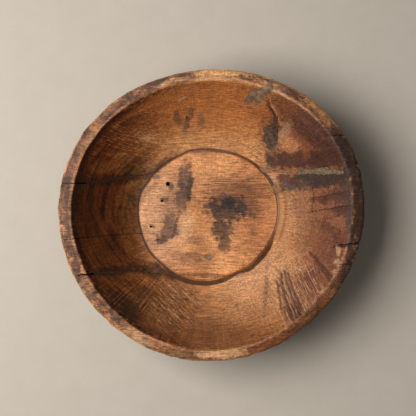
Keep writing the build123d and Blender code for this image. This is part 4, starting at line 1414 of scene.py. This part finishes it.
# %% Lay the stains of the rim, and the rim and the outside over the rest
RIM_STAINS = [
    # Dark upper right, black right, brown lower right and bottom, pale worn places, a dark notch
    (186, 106, 12, 52, 38, "432d20", 0.8, 0.4),
    (229, 2, 26, 76, 0, "352117", 0.92, 0.4),
    (165, -148, 30, 78, -46, "5f3c1f", 0.8),
    (92, -198, 50, 16, 22, "7d4b24", 0.8),
    (-20, -212, 70, 14, 0, "7d5433", 0.5),
    (10, -208, 30, 8, 0, "cfa377", 0.9, 0.4),
    (112, 174, 36, 4, -36, "dcae82", 0.9, 0.5),
    (58, 196, 24, 4, -18, "cb9a6c", 0.85, 0.5),
    (-154, 148, 8, 4, 44, "38281f", 0.85, 0.4, 0.5),
    # Dark and worn places all round, and painted shadow along the inner edge of the upper left rim
    (-222, 53, 10, 14, 0, "3c2b21", 0.75, 0.5),
    (-182, 118, 8, 22, -34, "ab7d50", 0.6),
    (-203, -66, 7, 18, 14, "402d21", 0.75, 0.5),
    (-140, -151, 12, 8, -45, "30221a", 0.8, 0.5),
    (-112, -182, 20, 7, -32, "c59d70", 0.7),
    (-99, 182, 20, 5, 30, "4a3526", 0.7),
    (-42, 198, 26, 4, 4, "6a4a30", 0.65),
    (30, 201, 22, 3, -8, "5f4430", 0.5),
    (88, 190, 10, 6, 30, "8a6c54", 0.7, 0.5, 1.0),
    (-151, 162, 24, 6, 47, "b4845a", 0.3),
    (-121, 184, 18, 6, 32, "b98a60", 0.3),
    (-70, 198, 18, 3, 17, "c99e6c", 0.6),
    (159, 160, 26, 6, -44, "b58252", 0.8),
    (-188, -112, 8, 16, 32, "b08660", 0.6),
    (-133, -177, 18, 7, -37, "b58a5e", 0.6),
    (33, -206, 20, 6, 6, "c59a68", 0.7),
    (-52, -209, 20, 5, -6, "b98c60", 0.35),
    (-18, -197, 22, 5, 0, "5d412c", 0.7),
    (-216, -11, 9, 16, 0, "54402f", 0.6),
    (206, -86, 12, 22, -28, "33211a", 0.8, 0.5, 1.0),
    (160, -160, 8, 26, -46, "3f2818", 0.6, 0.5, 1.0),
    (205, 94, 15, 34, 26, "2e1f17", 0.86, 0.5),
    # Grime and bare wood of the top, dirt of the right end
    (-113, 192, 38, 5, 33, "4a382f", 0.5, 0.5, 1.0),
    (-82, 203, 24, 5, 21, "4a382f", 0.66, 0.5, 1.0),
    (-44, 211, 24, 4, 8, "5a4335", 0.65, 0.5, 1.0),
    (4, 209, 30, 9, 0, "d6a670", 0.5, 0.5),
    (102, 192, 14, 5, -34, "b98a5e", 0.5),
    (214, 41, 8, 14, 6, "33261f", 0.4),
    (214, -42, 16, 2.2, 4, "1a100b", 0.8, 0.5, 0.15),
]
RIM_HUE, RIM_SATURATION = 0.492, 1.05  # a shade redder and richer than the tints above
RIM_START, RIM_FULL = 2.5, 2.9  # zones between the top of the wall and the rim
OUTSIDE_START, OUTSIDE_FULL = 3.6, 3.95
OUTSIDE_DARK, OUTSIDE_LIGHT = "5c3a22", "8c6340"
rim = lay_stains(rim, RIM_STAINS)
warmed = {"Hue": RIM_HUE, "Saturation": RIM_SATURATION, "Color": rim}
rim = add_node(tree, "ShaderNodeHueSaturation", warmed)
on_rim = add_node(tree, MAP_RANGE, {0: zone, 1: RIM_START, 2: RIM_FULL})
colour = add_node(tree, MIX, {"Factor": on_rim, "A": colour, "B": rim}, data_type="RGBA")
ground = {"Factor": tone, "A": linear(OUTSIDE_DARK), "B": linear(OUTSIDE_LIGHT)}
skin = add_node(tree, MIX, ground, data_type="RGBA")
outside = add_node(tree, MAP_RANGE, {0: zone, 1: OUTSIDE_START, 2: OUTSIDE_FULL})
colour = add_node(tree, MIX, {"Factor": outside, "A": colour, "B": skin}, data_type="RGBA")
print(f"{len(RIM_GROUND_STAINS) + len(RIM_STAINS)} stains on the rim, {len(tree.nodes)} nodes")

# %% [markdown]
# ## What lies over all of the wood
# Fibres, tool marks, growth rings and small nicks make whatever colour lies there lighter and darker, pores
# darken it, the gouge marks are darkened, painted shade fills the groove, and the same fibres and tool marks
# raise the surface a little. The rings show most at the left end, where the wall cuts them steeply.

# %% Make the wood lighter and darker
NICK_SIZE = 2.6
RING_FADE_START, RING_FADE_END = -80.0, -140.0  # places along the grain between which the rings grow strong
WEAK_RINGS, STRONG_RINGS = 0.15, 0.62
RING_DARK, RING_LIGHT = 0.32, 0.68  # noise of the rings that counts as dark and as light
RING_MOTTLE = 0.9
# How dark and how light each pattern makes the wood
NICK_LEVELS, FIBRE_LEVELS, STREAK_LEVELS = (0.74, 1.26), (0.54, 1.44), (0.84, 1.16)
along_grain = add_node(tree, SEPARATE, {0: coords}).outputs["X"]
ring_fade = {1: RING_FADE_START * MM, 2: RING_FADE_END * MM, 3: WEAK_RINGS, 4: STRONG_RINGS}
ring_strength = add_node(tree, MAP_RANGE, {0: along_grain, **ring_fade})
ring_range = {0: growth_rings, 1: RING_DARK, 2: RING_LIGHT, 3: -1.0, 4: 1.0}
ring_wave = add_node(tree, MAP_RANGE, ring_range)
mottled = add_node(tree, MATH, {0: in_blotches, 1: RING_MOTTLE, 2: ring_wave}, operation="MULTIPLY_ADD")
ring_level = add_node(tree, MATH, {0: mottled, 1: ring_strength, 2: 1.0}, operation="MULTIPLY_ADD")
nicks = add_node(tree, NOISE, {"Vector": coords, "Scale": per_metre(NICK_SIZE), "Detail": 2.0}).outputs[0]
levels = [
    add_node(tree, MAP_RANGE, {0: pattern, 1: NOISE_LOW, 2: NOISE_HIGH, 3: darkest, 4: lightest})
    for pattern, (darkest, lightest) in (
        (nicks, NICK_LEVELS), (fibres, FIBRE_LEVELS), (streaks, STREAK_LEVELS)
    )
]
level = levels[0]
for other in (*levels[1:], ring_level):
    level = add_node(tree, MATH, {0: level, 1: other}, operation="MULTIPLY")
colour = add_node(tree, "ShaderNodeHueSaturation", {"Value": level, "Color": colour})
print(f"{len(tree.nodes)} nodes")

# %% Add pores, darker gouge marks and painted shade in the groove, and finish the wood
# The groove's brown is painted shade, and the gouge marks are darkened by their own brown
PORE_BROWN, GOUGE_BROWN, GROOVE_SHADE = "2f180b", "36201b", "2b1c13"
PORE_STRENGTH, DARKENING_STRENGTH = 0.45, 0.85
PRESSED_LEAST = 0.2  # pressing of a gouge mark at which it begins to darken
GROOVE_SHADE_START, GROOVE_SHADE_FULL, GROOVE_SHADE_FADING, GROOVE_SHADE_END = 0.7, 0.95, 1.05, 1.6  # zones across the groove, where its painted shade lies
MATT, SATIN = 0.72, 0.55  # roughness between the fibres and on them
in_pores = add_node(tree, MATH, {0: pores, 1: PORE_STRENGTH}, operation="MULTIPLY")
gouge_range = {0: gouge_mark, 1: PRESSED_LEAST, 2: 1.0, 3: 0.0, 4: DARKENING_STRENGTH}
in_gouges = add_node(tree, MAP_RANGE, gouge_range)
dirt_range = {0: zone, 1: GROOVE_SHADE_START, 2: GROOVE_SHADE_FULL, 3: 0.0, 4: DARKENING_STRENGTH}
groove_side = add_node(tree, MAP_RANGE, dirt_range)
past_groove = add_node(tree, MAP_RANGE, {0: zone, 1: GROOVE_SHADE_FADING, 2: GROOVE_SHADE_END, 3: 1.0, 4: 0.0})
painted_groove_shade = add_node(tree, MATH, {0: groove_side, 1: past_groove}, operation="MULTIPLY")
for mask, shade in ((in_pores, PORE_BROWN), (in_gouges, GOUGE_BROWN), (painted_groove_shade, GROOVE_SHADE)):
    colour = add_node(tree, MIX, {"Factor": mask, "A": colour, "B": linear(shade)}, data_type="RGBA")
# Wood colour over the groove's painted shade where the groove is filled, and painted shade along the disc's
# edge
EDGE_STAINS = [
    (109, -6, 9, 38, 4, "b07a50", 0.75, 0.5, 0.6, along_fibres),
    (0, 101, 42, 3, 0, "6b5545", 0.6, 0.6, 0.4),
    (-80, 79, 28, 6, 40, "3a2413", 0.75, 0.6, 0.5),
    (-74, -92, 24, 6, -36, "38220f", 0.8, 0.5, 0.5),
    (-93, -92, 20, 9, -28, "33200f", 0.7, 0.6, 0.6),
    (-12, -96, 46, 3, 0, "4e321d", 0.6, 0.6, 0.6),
]
colour = lay_stains(colour, EDGE_STAINS)
relief = add_node(tree, MATH, {0: fibres, 1: streaks}, operation="ADD")
gloss = add_node(tree, MAP_RANGE, {0: fibres, 1: NOISE_LOW, 2: NOISE_HIGH, 3: MATT, 4: SATIN})
# Old oil: a dull sheen on the fibres, less in the hollows between them
finish_material(tree, colour, relief, strength=0.5, depth=0.8, roughness=gloss, specular=0.3)
print(f"the wood takes {len(tree.nodes)} nodes")

# %% [markdown]
# ## Dirt and painted shade, putty, pitch and the small woods
# These show in small patches, so each is one short function with a dark and a light tone and a grain that
# fits it: grit for the putties, fibres for the woods.

# %% Paint the small finishes
GRIT_DARK, GRIT_LIGHT = 0.32, 0.68  # noise of the grit that takes the dark and the light tone


def speckled(material, dark, light, grit, roughness):
    """A matt finish between two tones, mottled at a grit size in millimetres."""
    tree, coords = start_material(material)
    inputs = {"Vector": coords, "Scale": per_metre(grit), "Detail": 5.0, "Roughness": 0.7}
    grains = add_node(tree, NOISE, inputs).outputs[0]
    spread = add_node(tree, MAP_RANGE, {0: grains, 1: GRIT_DARK, 2: GRIT_LIGHT})
    colour = add_node(tree, MIX, {"Factor": spread, "A": linear(dark), "B": linear(light)}, data_type="RGBA")
    finish_material(tree, colour, grains, strength=0.5, depth=0.5, roughness=roughness)


def plain_wood(material, dark, light):
    """A dry wood between two tones, with fibres along the grain."""
    tree, coords = start_material(material)
    fibres = grain(tree, coords, FIBRE_LENGTH, FIBRE_WIDTH, detail=4.0, roughness=0.5)
    spread = add_node(tree, MAP_RANGE, {0: fibres, 1: NOISE_LOW, 2: NOISE_HIGH})
    colour = add_node(tree, MIX, {"Factor": spread, "A": linear(dark), "B": linear(light)}, data_type="RGBA")
    finish_material(tree, colour, fibres, strength=0.4, depth=0.5, roughness=0.75)


# Packed dirt with painted shade: nearly black, without shine, so that a crack reads as deep
speckled(dirt_and_shade_in_cuts, "150d07", "2e1c10", 3.0, 0.9)
# Chalk and oil, pressed in with a knife: dull, gritty and paler than the wood about it
speckled(materials["chalk putty, pale"], "48372a", "8c7458", 4.0, 0.9)
speckled(materials["chalk putty, grey"], "4c3523", "9b7b5b", 7.0, 0.9)
speckled(materials["chalk putty, olive"], "6c4d32", "a67a53", 4.0, 0.9)
# The same putty, drunk full of oil and smoke: as dark as the wall, and seen by its dullness alone
speckled(materials["old dark putty"], "2a170a", "5a3a16", 3.0, 0.9)
# Wood tar, poured hot and dusty since: brown-black, lumpy, with a little more shine than the putty
speckled(materials["black pitch"], "1e140e", "6a4e3b", 8.0, 0.8)
# A split sliver, never oiled: paler than the bowl, with open fibres
plain_wood(materials["pale dry hardwood"], "59331b", "956840")
# A sawn block that many hands have held: dark, dry and close-grained
plain_wood(materials["dark dry hardwood"], "1c110b", "4c3524")
print(f"{len(materials) + 1} small finishes")

# %% [markdown]
# ## The pieces and the measured model
# Every piece hides the node of the measured model that it stands for, and rides on the root body.

# %% Tie the pieces to the frame
for node, piece in pieces.items():
    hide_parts(node)
    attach(piece, "root")
print(f"{len(pieces)} pieces tied to the frame")

# %% [markdown]
# ## Floor, light and camera
# A plain pale floor, one large soft lamp high at the left and a little fill from all round. The camera looks
# straight down, as the photograph does.

# %% Set the stage
FLOOR_SIZE = 6.0
LAMP_PLACE = (-0.945, 0.13, 1.526)
LAMP_SIZE = 1.15
LAMP_POWER = 37.5
FILL = 0.13
CAMERA_PLACE = (-5.2 * MM, 11.2 * MM, 1.8)
CAMERA_LENS = 96.5

# Smooth plaster: matt and even, so that the bowl alone draws the eye
plaster = bpy.data.materials.new("pale plaster floor")
speckled(plaster, "bfb4a5", "c3b8a9", 40.0, 0.95)
half = FLOOR_SIZE / 2
corners = [(-half, -half, 0), (half, -half, 0), (half, half, 0), (-half, half, 0)]
floor_mesh = bpy.data.meshes.new("floor")
floor_mesh.from_pydata(corners, [], [(0, 1, 2, 3)])
put_in_scene("floor", floor_mesh, plaster)

lamp_data = bpy.data.lights.new("soft_lamp", "AREA")
lamp_data.size = LAMP_SIZE
lamp_data.energy = LAMP_POWER
lamp = bpy.data.objects.new("soft_lamp", lamp_data)
lamp.location = LAMP_PLACE
lamp.rotation_euler = (-Vector(LAMP_PLACE)).to_track_quat("-Z", "Y").to_euler()
bpy.context.scene.collection.objects.link(lamp)

world = bpy.data.worlds.new("soft fill")
world.use_nodes = True
world.node_tree.nodes["Background"].inputs["Color"].default_value = (1.0, 1.0, 1.0, 1.0)
world.node_tree.nodes["Background"].inputs["Strength"].default_value = FILL
bpy.context.scene.world = world
bpy.context.scene.view_settings.view_transform = "Standard"

camera_data = bpy.data.cameras.new("camera")
camera_data.lens = CAMERA_LENS
camera = bpy.data.objects.new("camera", camera_data)
camera.location = CAMERA_PLACE
bpy.context.scene.collection.objects.link(camera)
bpy.context.scene.camera = camera
print(f"camera {CAMERA_PLACE[2]:.2f} m above the floor")
